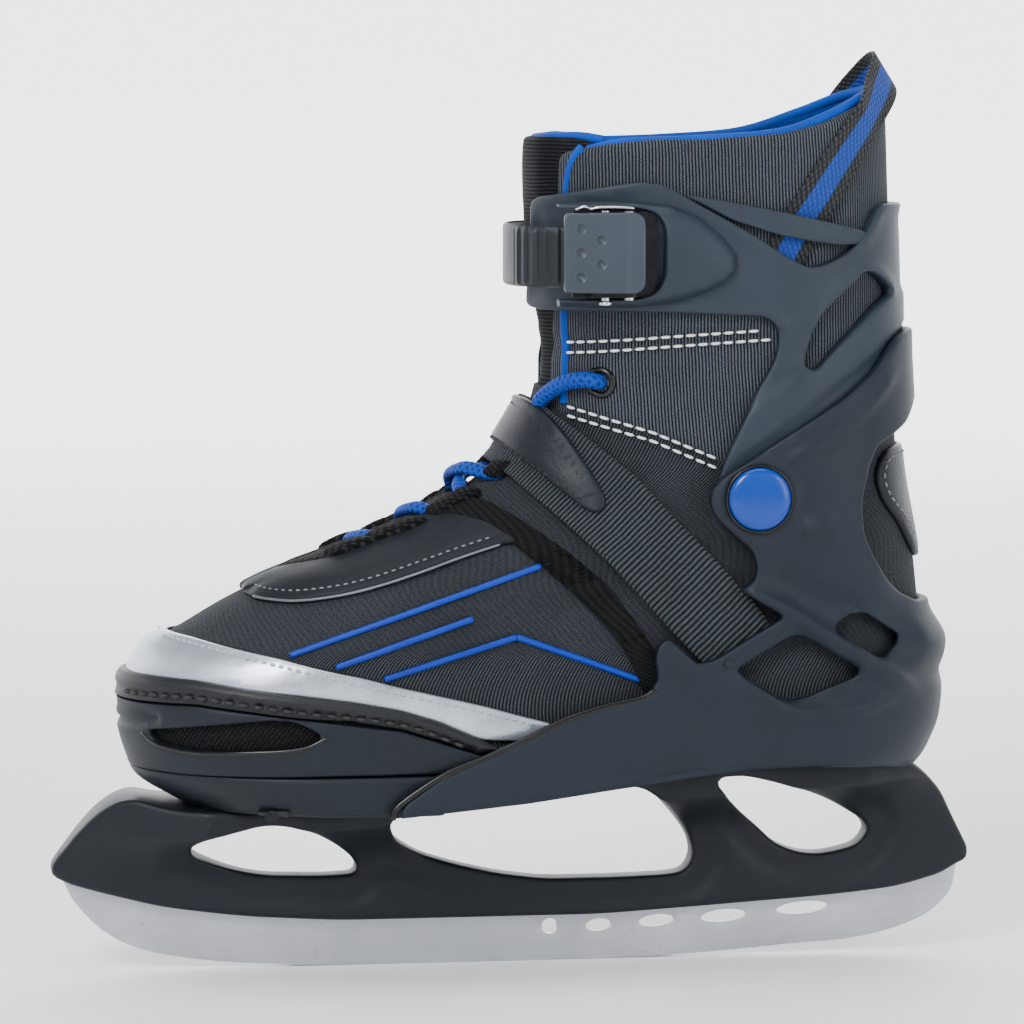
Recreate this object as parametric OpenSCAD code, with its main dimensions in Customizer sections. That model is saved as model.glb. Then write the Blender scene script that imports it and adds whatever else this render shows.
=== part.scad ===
// Adjustable ice skate, left foot, in millimetres.
// X runs along the blade (toe at -X, heel at +X), -Y is the outer side that carries
// the buckle, +Z is up. The origin is the middle of the blade's flat running edge.

/* [Blade] */
// Thickness of the steel runner
blade_t = 4; // [3:0.25:4.5]
// Radius of the round lightening hole in the runner
blade_hole_r = 2.6; // [2:0.1:3]
// Width of the holder where it grips the runner
holder_w = 13; // [11:0.5:15]
// Width of the holder's top flange
flange_w = 52; // [46:1:56]
// Radius of the holder screws' shanks
screw_r = 2.5; // [2:0.25:3]

/* [Shell] */
// Wall of the heel shell
shell_wall = 3.1; // [2.4:0.1:3.4]
// Wall of the toe shell and the cuff
slide_wall = 3; // [2.4:0.1:3.2]
// Gap that lets toe and cuff move inside the heel shell
shell_gap = 0.5; // [0.4:0.1:0.6]
// Thickness of the padded boot wall
pad_wall = 3.1; // [2.4:0.1:3.4]

/* [Ankle pivot] */
// Place of the pivot along X
pivot_x = 72; // [71:0.5:73]
// Height of the pivot
pivot_z = 152; // [151:0.5:153]
// Radius of the pivot rivet
pivot_r = 4; // [3:0.25:5]
// Radius of the coloured cap on the rivet
cap_r = 10; // [9:0.5:11]

/* [Buckle] */
// Width of the ladder strap
ladder_w = 19; // [17:0.5:19]
// Pitch of the ladder teeth
tooth_pitch = 3.2; // [2.6:0.2:4]
// Radius of the lever's pin
lever_pin_r = 1.5; // [1.2:0.1:1.6]
// Radius of the pawl's pin
pawl_pin_r = 1.2; // [1:0.1:1.3]

/* [Size adjustment] */
// Length of one size step of the rack
size_step = 6.67; // [6:0.01:7]
// Number of steps in the rack
size_count = 3; // [2:1:4]

/* [Hidden] */

around = 32;          // points round one horizontal section of the boot
ring_step = 7;        // height between two sections
far = 90;             // half length of a cutting prism, past both sides
fit = 0.05;           // radial clearance of a turning pin
air = 0.4;            // clearance between soft and hard pieces that move apart

shell_out = slide_wall + 2 * air - 0.4 + shell_gap + shell_wall;
shell_in = shell_out - shell_wall;
slide_out = air + slide_wall;

// Outline of the boot at offset 0: height, then where the front and the back lie
front_line = [[54, -104], [62, -117], [70, -120.5], [78, -123], [88, -124], [97, -122], [105, -117],
    [110, -108], [119, -92.5], [125, -80], [131, -63], [140, -39], [150, -21], [160, -8], [168, -2],
    [176, 3], [186, 6.5], [200, 7], [214, 6], [238, 4], [262, 3.5], [285, 6]];
back_line = [[54, 112], [60, 120], [68, 128], [75, 131], [100, 133], [129, 131], [157, 126],
    [190, 123], [225, 122], [285, 119]];
// Roundness of the front and of the back, by height
front_round = [[54, 60], [100, 62], [112, 85], [135, 95], [160, 70], [185, 42], [210, 34], [285, 34]];
back_round = [[54, 36], [130, 36], [170, 42], [285, 46]];
// Half widths: of the foot along X, of the ankle along Z
foot_half = [[-130, 40], [-80, 42], [-45, 42.5], [-10, 40], [30, 36.5], [80, 34], [140, 33]];
ankle_half = [[54, 36], [200, 36], [240, 37], [285, 38]];

function clamp01(v) = min(1, max(0, v));
function ease(a, b, v) = let (t = clamp01((v - a) / (b - a))) t * t * (3 - 2 * t);
function dome(d, r) = sqrt(1 - pow(1 - clamp01(d / r), 2));
function half_width(x, z) =
    let (k = ease(105, 165, z), w = lookup(x, foot_half) * (1 - k) + lookup(z, ankle_half) * k)
    w * dome(x - lookup(z, front_line), lookup(z, front_round))
      * dome(lookup(z, back_line) - x, lookup(z, back_round));
// One point of the section at height z, off millimetres outside the boot, at angle a from the toe
function skin_point(z, off, a) =
    let (f = lookup(z, front_line), b = lookup(z, back_line), s = (1 - cos(a)) / 2,
         x = f - off + s * (b - f + 2 * off), w = half_width(f + s * (b - f), z),
         end = dome(min(x - f + off, b + off - x), 12))
    [x, -sign(sin(a)) * (w + off * end), z];
function section(z, off) = [for (i = [0:around - 1]) skin_point(z, off, 360 * i / around)];
function heights(z0, z1) =
    let (n = ceil((z1 - z0) / ring_step)) [for (i = [0:n]) z0 + (z1 - z0) * i / n];

// Closed solid through rings that have the same number of points
module skin_solid(rings) {
    n = len(rings[0]);
    m = len(rings);
    sides = [for (j = [0:m - 2], i = [0:n - 1])
        let (p = j * n + i, q = j * n + (i + 1) % n) each [[p, p + n, q + n], [p, q + n, q]]];
    polyhedron(points = [for (r = rings) each r],
        faces = concat([[for (i = [0:n - 1]) i]], sides,
            [[for (i = [n - 1:-1:0]) (m - 1) * n + i]]));
}

module body(off, z0, z1) skin_solid([for (z = heights(z0, z1)) section(z, off)]);

// Prism across the boot over an outline in X and Z, on one side or on both (0)
module across(outline, side = 0) {
    from = side > 0 ? 0 : -far;
    to = side < 0 ? 0 : far;
    translate([0, to, 0]) rotate([90, 0, 0]) linear_extrude(to - from) polygon(outline);
}

// Wall between two offsets, cut to an outline
module skin(outline, o0, o1, z0, z1, side = 0) {
    intersection() {
        difference() {
            body(o1, z0, z1);
            body(o0, z0 - 1, z1 + 1);
        }
        across(outline, side);
    }
}

// Bar of an outline in X and Z between two values of Y
module bar(outline, y0, y1) translate([0, y1, 0]) rotate([90, 0, 0]) linear_extrude(y1 - y0) polygon(outline);
// Cylinder along Y between two values of Y
module rod_y(x, z, r, y0, y1) translate([x, y1, z]) rotate([90, 0, 0]) cylinder(r = r, h = y1 - y0, $fn = 40);
module both_sides() {
    children();
    mirror([0, 1, 0]) children();
}

// Tube with round section along a path
function unit(v) = v / norm(v);
function tangent(p, i) = unit(p[min(i + 1, len(p) - 1)] - p[max(i - 1, 0)]);
module tube(path, r, side_axis, n = 8) {
    skin_solid([for (i = [0:len(path) - 1])
        let (t = tangent(path, i), u = unit(cross(t, side_axis)), v = cross(t, u))
        [for (k = [0:n - 1]) path[i] + r * (cos(360 * k / n) * u + sin(360 * k / n) * v)]]);
}
// Flat band along a path: width along the vectors of wide, thickness across them
module band(path, wide, width, thick) {
    skin_solid([for (i = [0:len(path) - 1])
        let (t = tangent(path, i), u = unit(wide[i] - (wide[i] * t) * t), v = cross(t, u))
        [for (c = [[-1, -1], [-1, 1], [1, 1], [1, -1]]) path[i] + c[0] * u * width / 2 + c[1] * v * thick / 2]]);
}

// ---- blade and holder ----
edge_line = [[-144, 29], [-141, 24], [-134, 15], [-126, 9.5], [-117, 6], [-107, 4], [-94, 2], [-75, 0.8],
    [-56, 0], [28, 0], [55, 0.8], [74, 2], [94, 3.5], [107, 4.2], [121, 6.5], [134, 11], [141, 16], [144, 21], [146, 29]];
grip_line = [[145, 29], [140, 26], [126, 22], [107, 20], [93, 19], [60, 17], [28, 15.2], [-56, 15.2],
    [-85, 17], [-101, 19], [-114, 21], [-133, 26], [-143, 29]];
grip_depth = 7;
oval_holes = [[28, 11, 4.2, 2.1], [47, 12, 5.8, 2], [69, 13, 7.4, 2.1], [95, 15, 8.6, 2.1]];
oval_tilt = 4;
window_toe = [[-105, 41], [-95, 46], [-83, 49], [-77, 49], [-66, 46], [-55, 38], [-51, 33], [-52, 30],
    [-60, 29.5], [-79, 30], [-96, 34], [-103, 37]];
window_mid = [[-42, 48], [-39, 51], [-11, 52], [14, 55], [34, 58], [40, 57], [47, 53], [57, 40], [58, 35],
    [55, 28.5], [34, 27], [10, 27], [-18, 32], [-37, 39]];
window_heel = [[62, 60], [64, 61.5], [71, 61.5], [80, 60], [93, 56], [103, 51], [114, 44], [116, 41], [113, 36],
    [99, 33], [86, 36], [73, 48], [63, 58]];
holder_side = concat([[-143, 29], [-148, 32], [-148, 35], [-139, 46], [-133, 52], [-128, 54], [-44, 54], [-2, 57.5],
    [37, 62], [69, 66], [114, 67], [128, 65], [139, 54], [143, 46], [149, 34], [148, 30]], grip_line);
// The flange seen from above: half width along X
plan = [[-151, 7], [-138, 9], [-124, 19], [-108, 26.5], [114, 26.5], [131, 17], [143, 9], [151, 7]];
holder_tilt = 3.7;
// Screws in pairs: X, height of the joint, half spacing across
screw_spots = [[-98, 54, 17], [-58, 54, 17], [52, 64, 17], [116, 66.5, 13]];
screw_up = 4;         // shank above the joint
screw_down = 8;       // shank below the joint

module blade() {
    color("silver") difference() {
        bar(concat(edge_line, [for (p = grip_line) [p[0] * 0.985, p[1] + grip_depth]]), -blade_t / 2, blade_t / 2);
        rod_y(12, 11, blade_hole_r, -far, far);
        for (h = oval_holes)
            translate([h[0], 0, h[1]]) rotate([0, -oval_tilt, 0])
                bar([for (a = [0:15:345]) [h[2] * cos(a), h[3] * sin(a)]], -far, far);
    }
}

module blade_holder() {
    half = concat([[flange_w / 2, 12], [flange_w / 2, -5], [flange_w * 0.43, -8], [flange_w * 0.3, -12],
        [flange_w * 0.19, -17], [holder_w / 2, -24], [holder_w / 2, -60]]);
    color("#3d4650") difference() {
        intersection() {
            bar(holder_side, -far, far);
            translate([-200, 0, 47.5]) rotate([0, -holder_tilt, 0])
                rotate([90, 0, 90]) linear_extrude(420)
                    polygon(concat(half, [for (i = [len(half) - 1:-1:0]) [-half[i][0], half[i][1]]]));
            linear_extrude(80) polygon(concat(plan, [for (i = [len(plan) - 1:-1:0]) [plan[i][0], -plan[i][1]]]));
        }
        bar(window_toe, -far, far);
        bar(window_mid, -far, far);
        bar(window_heel, -far, far);
        bar(concat(edge_line, [for (p = grip_line) [p[0] * 0.985, p[1] + grip_depth]]), -blade_t / 2, blade_t / 2);
        screw_holes(screw_down, 20);
        at_screws() translate([0, 0, -screw_down]) cylinder(r = screw_r * 1.7, h = 4, $fn = 6);
    }
}

module at_screws() for (s = screw_spots, y = [-s[2], s[2]]) translate([s[0], y, s[1]]) children();
module screw_holes(down, up) at_screws() translate([0, 0, -down]) cylinder(r = screw_r, h = down + up, $fn = 32);

module holder_screws() color("#8c9296") {
    screw_holes(screw_down, screw_up);
    at_screws() translate([0, 0, screw_up]) cylinder(r = screw_r * 1.8, h = 2, $fn = 32);
}

// Nuts moulded into the holder
module holder_nuts() color("#777d82") difference() {
    at_screws() translate([0, 0, -screw_down]) cylinder(r = screw_r * 1.7, h = 4, $fn = 6);
    screw_holes(screw_down + 1, 0);
}

// ---- tray under the toe, with the size lock ----
tray_top = 67;
tray_line = [[-131, 67], [-120, 67], [-117.5, 61], [-110, 57], [-103, 54], [-44.3, 54], [-44.3, 57.2], [-30, 58.6], [-30, 67]];
bay = [[-103.5, 57.2], [-34, 57.2], [-34, 65.2], [-103.5, 65.2]];
bay_half = 33;
button_x = -81;
button_z = 61.2;
button_r = 2.5;
rack_y = [-1, 5];
keel = [[-97, 61.9], [-42, 61.9], [-42, 67.3], [-97, 67.3]];
keel_slot = [[-119, 61.2], [-34, 61.2], [-34, 68], [-119, 68]];
tooth_half = 1.6;
stop_screw_at = [-81, 54.2];

module sole_tray() color("#414a53") difference() {
    intersection() {
        body(slide_out, 52, tray_top);
        across(tray_line);
    }
    bar(bay, -bay_half, bay_half);
    bar(keel_slot, -8, 8);
    rod_y(button_x, button_z, button_r + fit, 0, far);
    bar([[-88, 50], [-74, 50], [-74, 56.3], [-88, 56.3]], -far, -36);
    rod_y(stop_screw_at[0], stop_screw_at[1], 1, -37, -30);
    screw_holes(1, screw_up);
}
// Screw that ends the slide, seen in the notch under the toe
module stop_screw() color("#c8cdd0") {
    rod_y(stop_screw_at[0], stop_screw_at[1], 1, -37, -31);
    rod_y(stop_screw_at[0], stop_screw_at[1], 2, -39.5, -36);
}
// Push button with its collar, the bar under the rack and the lock tooth
module size_button() color("#b8bec2") {
    rod_y(button_x, button_z, button_r, 11, 43.6);
    rod_y(button_x, button_z, 3.8, 22, 24);
    bar([[-84, 58.9], [-78, 58.9], [-78, 61], [-84, 61]], -4, 12);
    bar([[-82, 61], [-80, 61], [-80, 65], [-82, 65]], -4, -1.4);
}
module button_spring() color("#9aa0a4") difference() {
    rod_y(button_x, button_z, 3.7, 14, 21.8);
    rod_y(button_x, button_z, button_r + 0.1, 13, 23);
}
module size_rack() color("#30363c") difference() {
    bar(keel, rack_y[0], rack_y[1]);
    for (i = [-1:size_count + 1]) let (x = button_x + i * size_step)
        bar([[x - tooth_half, 60], [x + tooth_half, 60], [x + tooth_half, 65.5], [x - tooth_half, 65.5]],
            rack_y[0] - 1, rack_y[0] + 2);
    at_rack_screws(60, 1, 9);
    at_rack_screws(60, 2.2, 3);
}
rack_screw_x = [-91, -50];
module at_rack_screws(z, r, h) for (x = rack_screw_x) translate([x, 2.5, z]) cylinder(r = r, h = h, $fn = 24);
module rack_screws() color("#8c9296") {
    at_rack_screws(63, 1, 7.2);
    at_rack_screws(62, 2.2, 1);
}

// ---- heel shell ----
shell_side = [[-44, 54], [-2, 57.5], [37, 62], [69, 66], [114, 67], [128, 65], [160, 65], [160, 204],
    [119, 201], [111, 191], [101, 183], [85, 173], [66, 162], [60, 159], [58, 155], [57, 152], [58, 147],
    [61, 144], [71, 136], [73, 133], [73, 127], [68, 123], [74, 118.5], [80, 115], [58, 101.5], [54, 100.5],
    [44, 108], [41, 106], [40, 102], [41, 96], [39, 92], [34, 89], [22, 87], [9, 83], [-4, 77], [-16, 72],
    [-29, 67], [-43, 58]];
shell_floor = [[-60, 57], [-44, 57], [-2, 61], [37, 65.5], [69, 69.5], [160, 70.5], [160, 230], [-60, 230]];
shell_window_low = [[66, 98], [84, 108], [86, 108], [104, 97], [103, 95], [86, 88], [81, 88]];
shell_window_high = [[97, 110], [104, 115], [107, 115], [119, 107], [118, 105], [113, 101], [111, 101]];
heel_hole = [[160, 169], [115, 169], [109, 166], [106, 150], [108, 138], [115, 126], [126, 116], [160, 114]];
module heel_shell() {
    color("#414951") difference() {
        intersection() {
            body(shell_out, 50, 206);
            across(shell_side);
        }
        intersection() {
            body(shell_in, 56, 210);
            across(shell_floor);
        }
        across(shell_window_low);
        across(shell_window_high);
        across(heel_hole);
        rod_y(pivot_x, pivot_z, pivot_r, -far, far);
        both_sides() rod_y(strap_rivet_at[0], strap_rivet_at[1], strap_rivet_r, -far, 0);
        screw_holes(1, 5);
    }
}

// ---- soft boot ----
foot_cut = [[-44, 50], [-44, 155], [-15, 186], [0, 186], [5, 181], [14, 174], [20, 171], [41, 165.5], [58, 159.5],
    [72, 154.5], [160, 176], [160, 50]];
shaft_cut = [[14, 300], [14, 191], [20, 184.5], [26, 181], [45, 172], [60, 163], [72, 157.5], [160, 182], [160, 300]];
tongue_cut = [[-20, 199], [7, 199], [13.6, 191.5], [13.6, 300], [-20, 300]];
collar_line = [[-20, 262], [16, 260], [29, 263], [54, 264], [79, 266], [99, 272], [112, 277], [160, 280],
    [160, 150], [-20, 150]];
sole_z = 73;
module padded(z0, z1, cut) {
    difference() {
        intersection() {
            skin_solid([for (z = heights(z0, z1)) section(z, z < 102 ? -2.6 : -air)]);
            across(cut);
        }
        skin_solid([for (z = heights(z0 + pad_wall, z1 + 2)) section(z, (z < 102 ? -2.6 : -air) - pad_wall)]);
        both_sides() rod_y(pivot_x, pivot_z, 9, -far, -33.5);
    }
}
module boot_foot() color("#2b3138") padded(sole_z, 188, foot_cut);
module boot_toe() color("#2b3138") difference() {
    intersection() {
        body(-air, 70.5, 134);
        across([[-140, 60], [-44.6, 60], [-44.6, 140], [-140, 140]]);
    }
    body(-air - pad_wall, 70.5 + pad_wall, 136);
}
module shaft_wall(cut, o0, o1) intersection() {
    skin(cut, o0, o1, 156, 282);
    across(collar_line);
}
module boot_shaft() color("#4a535c") difference() {
    shaft_wall(shaft_cut, -air - pad_wall, -air);
    both_sides() rod_y(24, 188, 5, -far, 0);
    both_sides() rod_y(pivot_x, pivot_z, 9, -far, -33.5);
}
module tongue() color("#262d35") shaft_wall(tongue_cut, -air - pad_wall, -air);
module collar_lining() color("#0a60c2")
    shaft_wall([[16, 300], [16, 240], [160, 240], [160, 300]], -air - pad_wall - 1.5, -air - pad_wall - 0.05);
module lasting_board() color("#8a7a5c") difference() {
    intersection() {
        body(-4.5, 70.7, sole_z);
        across([[-43, 60], [-43, 80], [128, 80], [128, 60]]);
    }
    at_screws() cylinder(r = 5, h = 20, $fn = 32);
}
module footbed() color("#1f252c") intersection() {
    body(-2.6 - pad_wall - 0.3, 76.3, 80.3);
    across([[-43, 60], [-43, 90], [140, 90], [140, 60]]);
}

// ---- trims on the boot ----
band_top = [[-135, 110], [-116, 111], [-91, 106], [-66, 100.5], [-41, 94.5], [-15, 88.5], [7, 82]];
band_low = [[-10, 76], [-16, 78], [-29, 83.5], [-41, 87.2], [-72, 92.2], [-103, 97.2], [-135, 98]];
welt_low = [[-16, 72.5], [-41, 81.2], [-72, 86.2], [-103, 91.2], [-124, 92], [-135, 90]];
toe_low = [[-135, 67.3], [5, 67.3], [5, 72]];
module toe_shell() color("#414951") {
    difference() {
        intersection() {
            body(slide_out, 67.3, 94);
            across(concat(toe_low, welt_low));
        }
        body(air, 70.3, 96);
        across([[-117, 80], [-82, 85], [-72, 84], [-65, 79], [-72, 76], [-103, 75], [-116, 76]]);
        at_rack_screws(60, 1, 10.2);
    }
}
module toe_welt() color("#39424a") skin(concat(band_low, [for (i = [5:-1:0]) welt_low[i] + [0, 0.1]]), 0.1, slide_out, 70, 100);
module toe_band() color("#d4dadf") skin(concat(band_top, band_low), 0.2, 1.4, 74, 112);
module vamp_overlay() color("#48525c")
    skin([[-88, 125], [-85, 120], [-71, 119.5], [-46, 125], [-21, 133], [-3, 137], [-3, 140], [-13, 144],
        [-32, 143], [-57, 131], [-78, 127]], 0, 1.2, 116, 148);
module eyestay_binding() color("#23292f")
    skin([[-78, 127.2], [-57, 131.2], [-32, 143.2], [-23, 144.6], [-12, 145], [-12, 149], [-26, 149], [-39, 145],
        [-61, 134], [-78, 130]], 0, 1.6, 122, 152);
module binding_rear() color("#23292f")
    skin([[4, 139], [12, 132], [25, 122], [37, 106], [42, 94], [36, 92], [30, 106], [19, 118], [4, 131]],
        0.1, 1.3, 90, 142);
piping_lines = [[[-75, 105], [1, 130.2]], [[-61, 101.5], [-18, 115.5]], [[-46, 97.5], [-4, 109.5], [33, 95.4]]];
module piping(x0, x1) color("#1560d8") intersection() {
    for (line = piping_lines, i = [0:len(line) - 2]) let (a = line[i], b = line[i + 1])
        skin([a, b, b + [0, -1.8], a + [0, -1.8]], 0.1, 1.4, 88, 134);
    across([[x0, 60], [x1, 60], [x1, 150], [x0, 150]]);
}
module piping_front() piping(-90, -45);
module piping_rear() piping(-44, 40);
module heel_patch() color("#48525c")
    skin([[160, 166], [116, 165], [113, 161], [112, 156], [115, 149], [121, 143], [126, 131], [160, 131]],
        0.1, 1.3, 128, 169);

// ---- strap over the instep ----
strap_side = [[-14, 159], [0, 187], [9, 179], [21, 170], [34, 159], [46, 146], [59, 133], [73, 118], [78, 111],
    [60, 95], [54, 101], [47, 108], [28, 129], [9, 146], [-9, 161]];
patch_side = [[0, 182], [5, 180], [13, 171], [19, 161], [24, 149], [22, 147], [19, 147], [9, 154], [0, 162]];
module instep_strap() color("#363f44") difference() {
    skin(strap_side, 0.7, 3, 92, 190);
    both_sides() rod_y(strap_rivet_at[0], strap_rivet_at[1], strap_rivet_r, -far, 0);
}
module strap_patch() color("#4c5863") skin(patch_side, 3.3, 4.5, 144, 184, -1);
strap_rivet_at = [63, 100];
strap_rivet_r = 1.5;
module strap_rivets() color("#9aa0a4") both_sides() {
    rod_y(strap_rivet_at[0], strap_rivet_at[1], strap_rivet_r, -42.4, -34.5);
    rod_y(strap_rivet_at[0], strap_rivet_at[1], 3, -34.9, -33.9);
}

// ---- lace ----
keeper_spots = [[-15.5, 15], [-33, 13], [-50, 11]];
function ridge(x) = lookup(x, [for (p = front_line) if (p[0] < 180) [p[1], p[0]]]);
module lace_keepers() color("#23292f") difference() {
    for (k = keeper_spots) both_sides()
        translate([k[0], -k[1], ridge(k[0]) - 0.5]) rotate([0, -25, 0]) cube([7, 3, 6], center = true);
    body(1.8, 112, 168);
    lace_vamp();
}
module lace_vamp() color("#1773cb") difference() {
    for (k = keeper_spots)
        tube([for (a = [-70:20:70])
            [k[0] + 4 * sin(a) * 0.4, k[1] * sin(a) * 1.06, ridge(k[0]) + 4.8 - 4 * (1 - cos(a))]], 2.4, [1, 0, 0]);
    body(1.8, 112, 168);
}
module lace_ankle() color("#1773cb") both_sides()
    tube([[25, -31.5, 188.5], [22, -34.5, 188], [17, -34, 187], [12, -30.5, 185]], 2.4, [0, 0, 1]);
module eyelets() color("#22262a") both_sides() difference() {
    rod_y(24, 188, 5, -31.5, -26);
    rod_y(24, 188, 2.9, -40, -20);
}

// ---- cuff and its pivot ----
cuff_side = [[6, 246], [22, 249], [34, 251], [42, 250], [53, 244], [66, 237], [73, 233], [82, 227], [88, 224.5],
    [94, 225], [101, 228], [107, 233], [112, 243], [160, 243.5], [160, 189], [119, 187], [100, 170], [86, 157],
    [86, 150], [80, 141], [72, 138.5], [64, 141], [59.5, 148], [59.5, 156], [63, 166], [67, 174], [72, 185],
    [79, 200], [79, 205], [75, 209], [66, 209], [53, 210], [28, 211], [6, 211]];
cuff_window = [[106, 222], [112, 220], [117, 216], [104, 206], [96, 198], [90, 192], [87, 194], [89, 201],
    [93, 210], [99, 215]];
band_strip = [[50, 246], [78, 241.5], [108, 234.5], [108, 231], [98, 231], [78, 234.5], [62, 239]];
boss_side = [[8, 213], [20, 212], [33, 212], [42, 213], [51, 216], [59, 219], [63, 226], [61, 230], [56, 235],
    [48, 241], [39, 244], [33, 245], [8, 244]];
recess = [[-5, 215], [39.2, 215], [41.4, 218], [42, 222], [42, 236], [41, 240], [39.2, 242.6], [-5, 242.6]];
base_x = [13, 39];
base_y = -41;
rivet_spots = [[37, 222], [37, 235]];
module cuff() color("#353e44") difference() {
    union() {
        intersection() {
            body(slide_out, 136, 246);
            across(cuff_side);
        }
        skin(band_strip, 2.4, 3.9, 228, 248);
        bar(boss_side, -44, -24);
        bar([for (p = boss_side) [33, 228] + 0.9 * (p - [33, 228])], -46, -43);
    }
    body(air, 134, 250);
    bar(recess, -50, base_y);
    across(cuff_window);
    both_sides() rod_y(pivot_x, pivot_z, pivot_r + fit, -far, 0);
    for (r = rivet_spots) rod_y(r[0], r[1], 1.6, -far, 0);
    rod_y(44, 228, 2, 0, far);
}
module pivot_rivets() color("#b4babd") both_sides() {
    rod_y(pivot_x, pivot_z, pivot_r, -42.6, -35.4);
    rod_y(pivot_x, pivot_z, 7, -35.4, -34);
}
module pivot_washers() color("#8c9296") both_sides() difference() {
    rod_y(pivot_x, pivot_z, 6, -35.8, -35.4);
    rod_y(pivot_x, pivot_z, pivot_r + fit, -40, -30);
}
module pivot_caps() color("#0162cd") both_sides() difference() {
    union() {
        rod_y(pivot_x, pivot_z, cap_r, -46, -42.2);
        rod_y(pivot_x, pivot_z, cap_r - 1.5, -46.8, -46);
    }
    body(shell_out, 138, 166);
    rod_y(pivot_x, pivot_z, pivot_r, -42.6, -30);
}

// ---- buckle ----
lever_at = [30, -47.5];
pawl_at = [22.5, -48];
ear_z = [[215.4, 216.8], [240.4, 241.8]];
module buckle_base() color("#5a6066") difference() {
    union() {
        translate([base_x[0], base_y - 1.2, ear_z[0][0]]) cube([base_x[1] - base_x[0], 1.2, ear_z[1][1] - ear_z[0][0]]);
        for (e = ear_z) translate([0, 0, e[0]]) linear_extrude(e[1] - e[0]) {
            translate([18, -50.2]) square([lever_at[0] - 18, 50.2 + base_y]);
            translate([18, lever_at[1]]) square([lever_at[0] + 2.8 - 18, base_y - lever_at[1]]);
            translate(lever_at) circle(r = 2.8, $fn = 32);
        }
    }
    translate([lever_at[0], lever_at[1], 200]) cylinder(r = lever_pin_r, h = 60, $fn = 32);
    translate([pawl_at[0], pawl_at[1], 200]) cylinder(r = pawl_pin_r, h = 60, $fn = 32);
    for (r = rivet_spots) rod_y(r[0], r[1], 1.6, -far, 0);
}
module base_rivets() color("#9aa0a4") for (r = rivet_spots) {
    rod_y(r[0], r[1], 1.6, -42.2, -36.4);
    rod_y(r[0], r[1], 2.6, -43.2, -42.2);
}
module lever_pin() color("#c8cdd0") translate([lever_at[0], lever_at[1], 214.6]) cylinder(r = lever_pin_r, h = 27.4, $fn = 32);
module pawl_pin() color("#c8cdd0") translate([pawl_at[0], pawl_at[1], 214.2]) cylinder(r = pawl_pin_r, h = 28, $fn = 32);
module pawl_spring() color("#9aa0a4") for (z = [218, 236.2]) translate([pawl_at[0], pawl_at[1], z]) difference() {
    cylinder(r = 2.1, h = 2.6, $fn = 32);
    translate([0, 0, -1]) cylinder(r = pawl_pin_r + fit, h = 5, $fn = 32);
}
module buckle_lever() color("#58606e") difference() {
    union() {
        translate([9, -53.2, 216.4]) cube([25.5, 2.5, 24.8]);
        for (z = [217.1, 238.9]) translate([0, 0, z]) linear_extrude(1.2) {
            translate([lever_at[0] - 2.8, -51]) square([5.6, 51 + lever_at[1]]);
            translate(lever_at) circle(r = 2.8, $fn = 32);
        }
    }
    translate([lever_at[0], lever_at[1], 200]) cylinder(r = lever_pin_r + fit, h = 60, $fn = 32);
    for (p = [[14, 237], [14, 229], [14, 221], [20, 233], [20, 225]]) rod_y(p[0], p[1], 1.1, -54, -52.7);
}
module buckle_pawl() color("#6a7076") difference() {
    translate([0, 0, 221]) linear_extrude(14.8) {
        translate(pawl_at) circle(r = 2.3, $fn = 32);
        polygon([[15.4, -45.6], [16.2, -46.8], [21, -50.2], [24.5, -49.2], [24, -46.2], [21, -45.8]]);
    }
    translate([pawl_at[0], pawl_at[1], 200]) cylinder(r = pawl_pin_r + fit, h = 60, $fn = 32);
}
strap_path = [[27, -43.4], [12, -43.4], [6, -42.2], [1, -38.5], [-2.2, -32], [-3.6, -22], [-3.2, -10], [-1.2, 5],
    [2, 18.5], [7.6, 29.5], [16.5, 37.4], [29.5, 42], [52, 42.6]];
function path_normal(i) = let (t = tangent(strap_path, i)) [t[1], -t[0]];
teeth_from = 12;
module ladder_strap() color("#39424a") difference() {
    translate([0, 0, 228 - ladder_w / 2]) linear_extrude(ladder_w) {
        polygon(concat([for (i = [0:len(strap_path) - 1]) strap_path[i] + path_normal(i)],
            [for (i = [len(strap_path) - 1:-1:0]) strap_path[i] - path_normal(i)]));
        for (i = [0:4]) translate([teeth_from + i * tooth_pitch, -44.4])
            polygon([[0, 0.2], [0.4, -0.8], [tooth_pitch - 0.2, 0], [tooth_pitch - 0.2, 0.2]]);
    }
    rod_y(44, 228, 2, 0, far);
}
module ladder_rivet() color("#9aa0a4") {
    rod_y(44, 228, 2, 37, 43.6);
    rod_y(44, 228, 4, 43.55, 44.9);
}

// ---- pull loop ----
loop_width = 12;
loop_spots = [[92, 235], [96, 242], [100, 250], [104, 258], [108, 265], [111, 272], [114.5, 277.5]];
// Outward normal of the boot, in the horizontal plane, and the middle of the webbing, 1.2 to 2.4 mm off the boot
function skin_normal(x, z) = unit([half_width(x - 1, z) - half_width(x + 1, z), -2, 0]);
loop_half = [for (p = loop_spots) let (n = skin_normal(p[0], p[1]))
    [p[0], -half_width(p[0], p[1]), p[1]] + (1.2 + max(0, p[1] - 243) * 0.04) * n];
loop_over = [[117.2, -11, 282], [118, 0, 284.5], [117.2, 11, 282]];
loop_path = concat(loop_half, loop_over, [for (i = [6:-1:0]) [loop_half[i][0], -loop_half[i][1], loop_half[i][2]]]);
// Across the webbing, in the boot's surface
loop_wide = concat([for (p = loop_spots) let (n = skin_normal(p[0], p[1])) [-n[1], n[0], -0.5]],
    [[0.8, 0.3, -0.5], [0.8, 0, -0.5], [0.8, -0.3, -0.5]],
    [for (i = [6:-1:0]) let (n = skin_normal(loop_spots[i][0], loop_spots[i][1])) [-n[1], -n[0], -0.5]]);
module pull_loop() color("#1a6fd0") band(loop_path, loop_wide, loop_width, 1.2);

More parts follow.
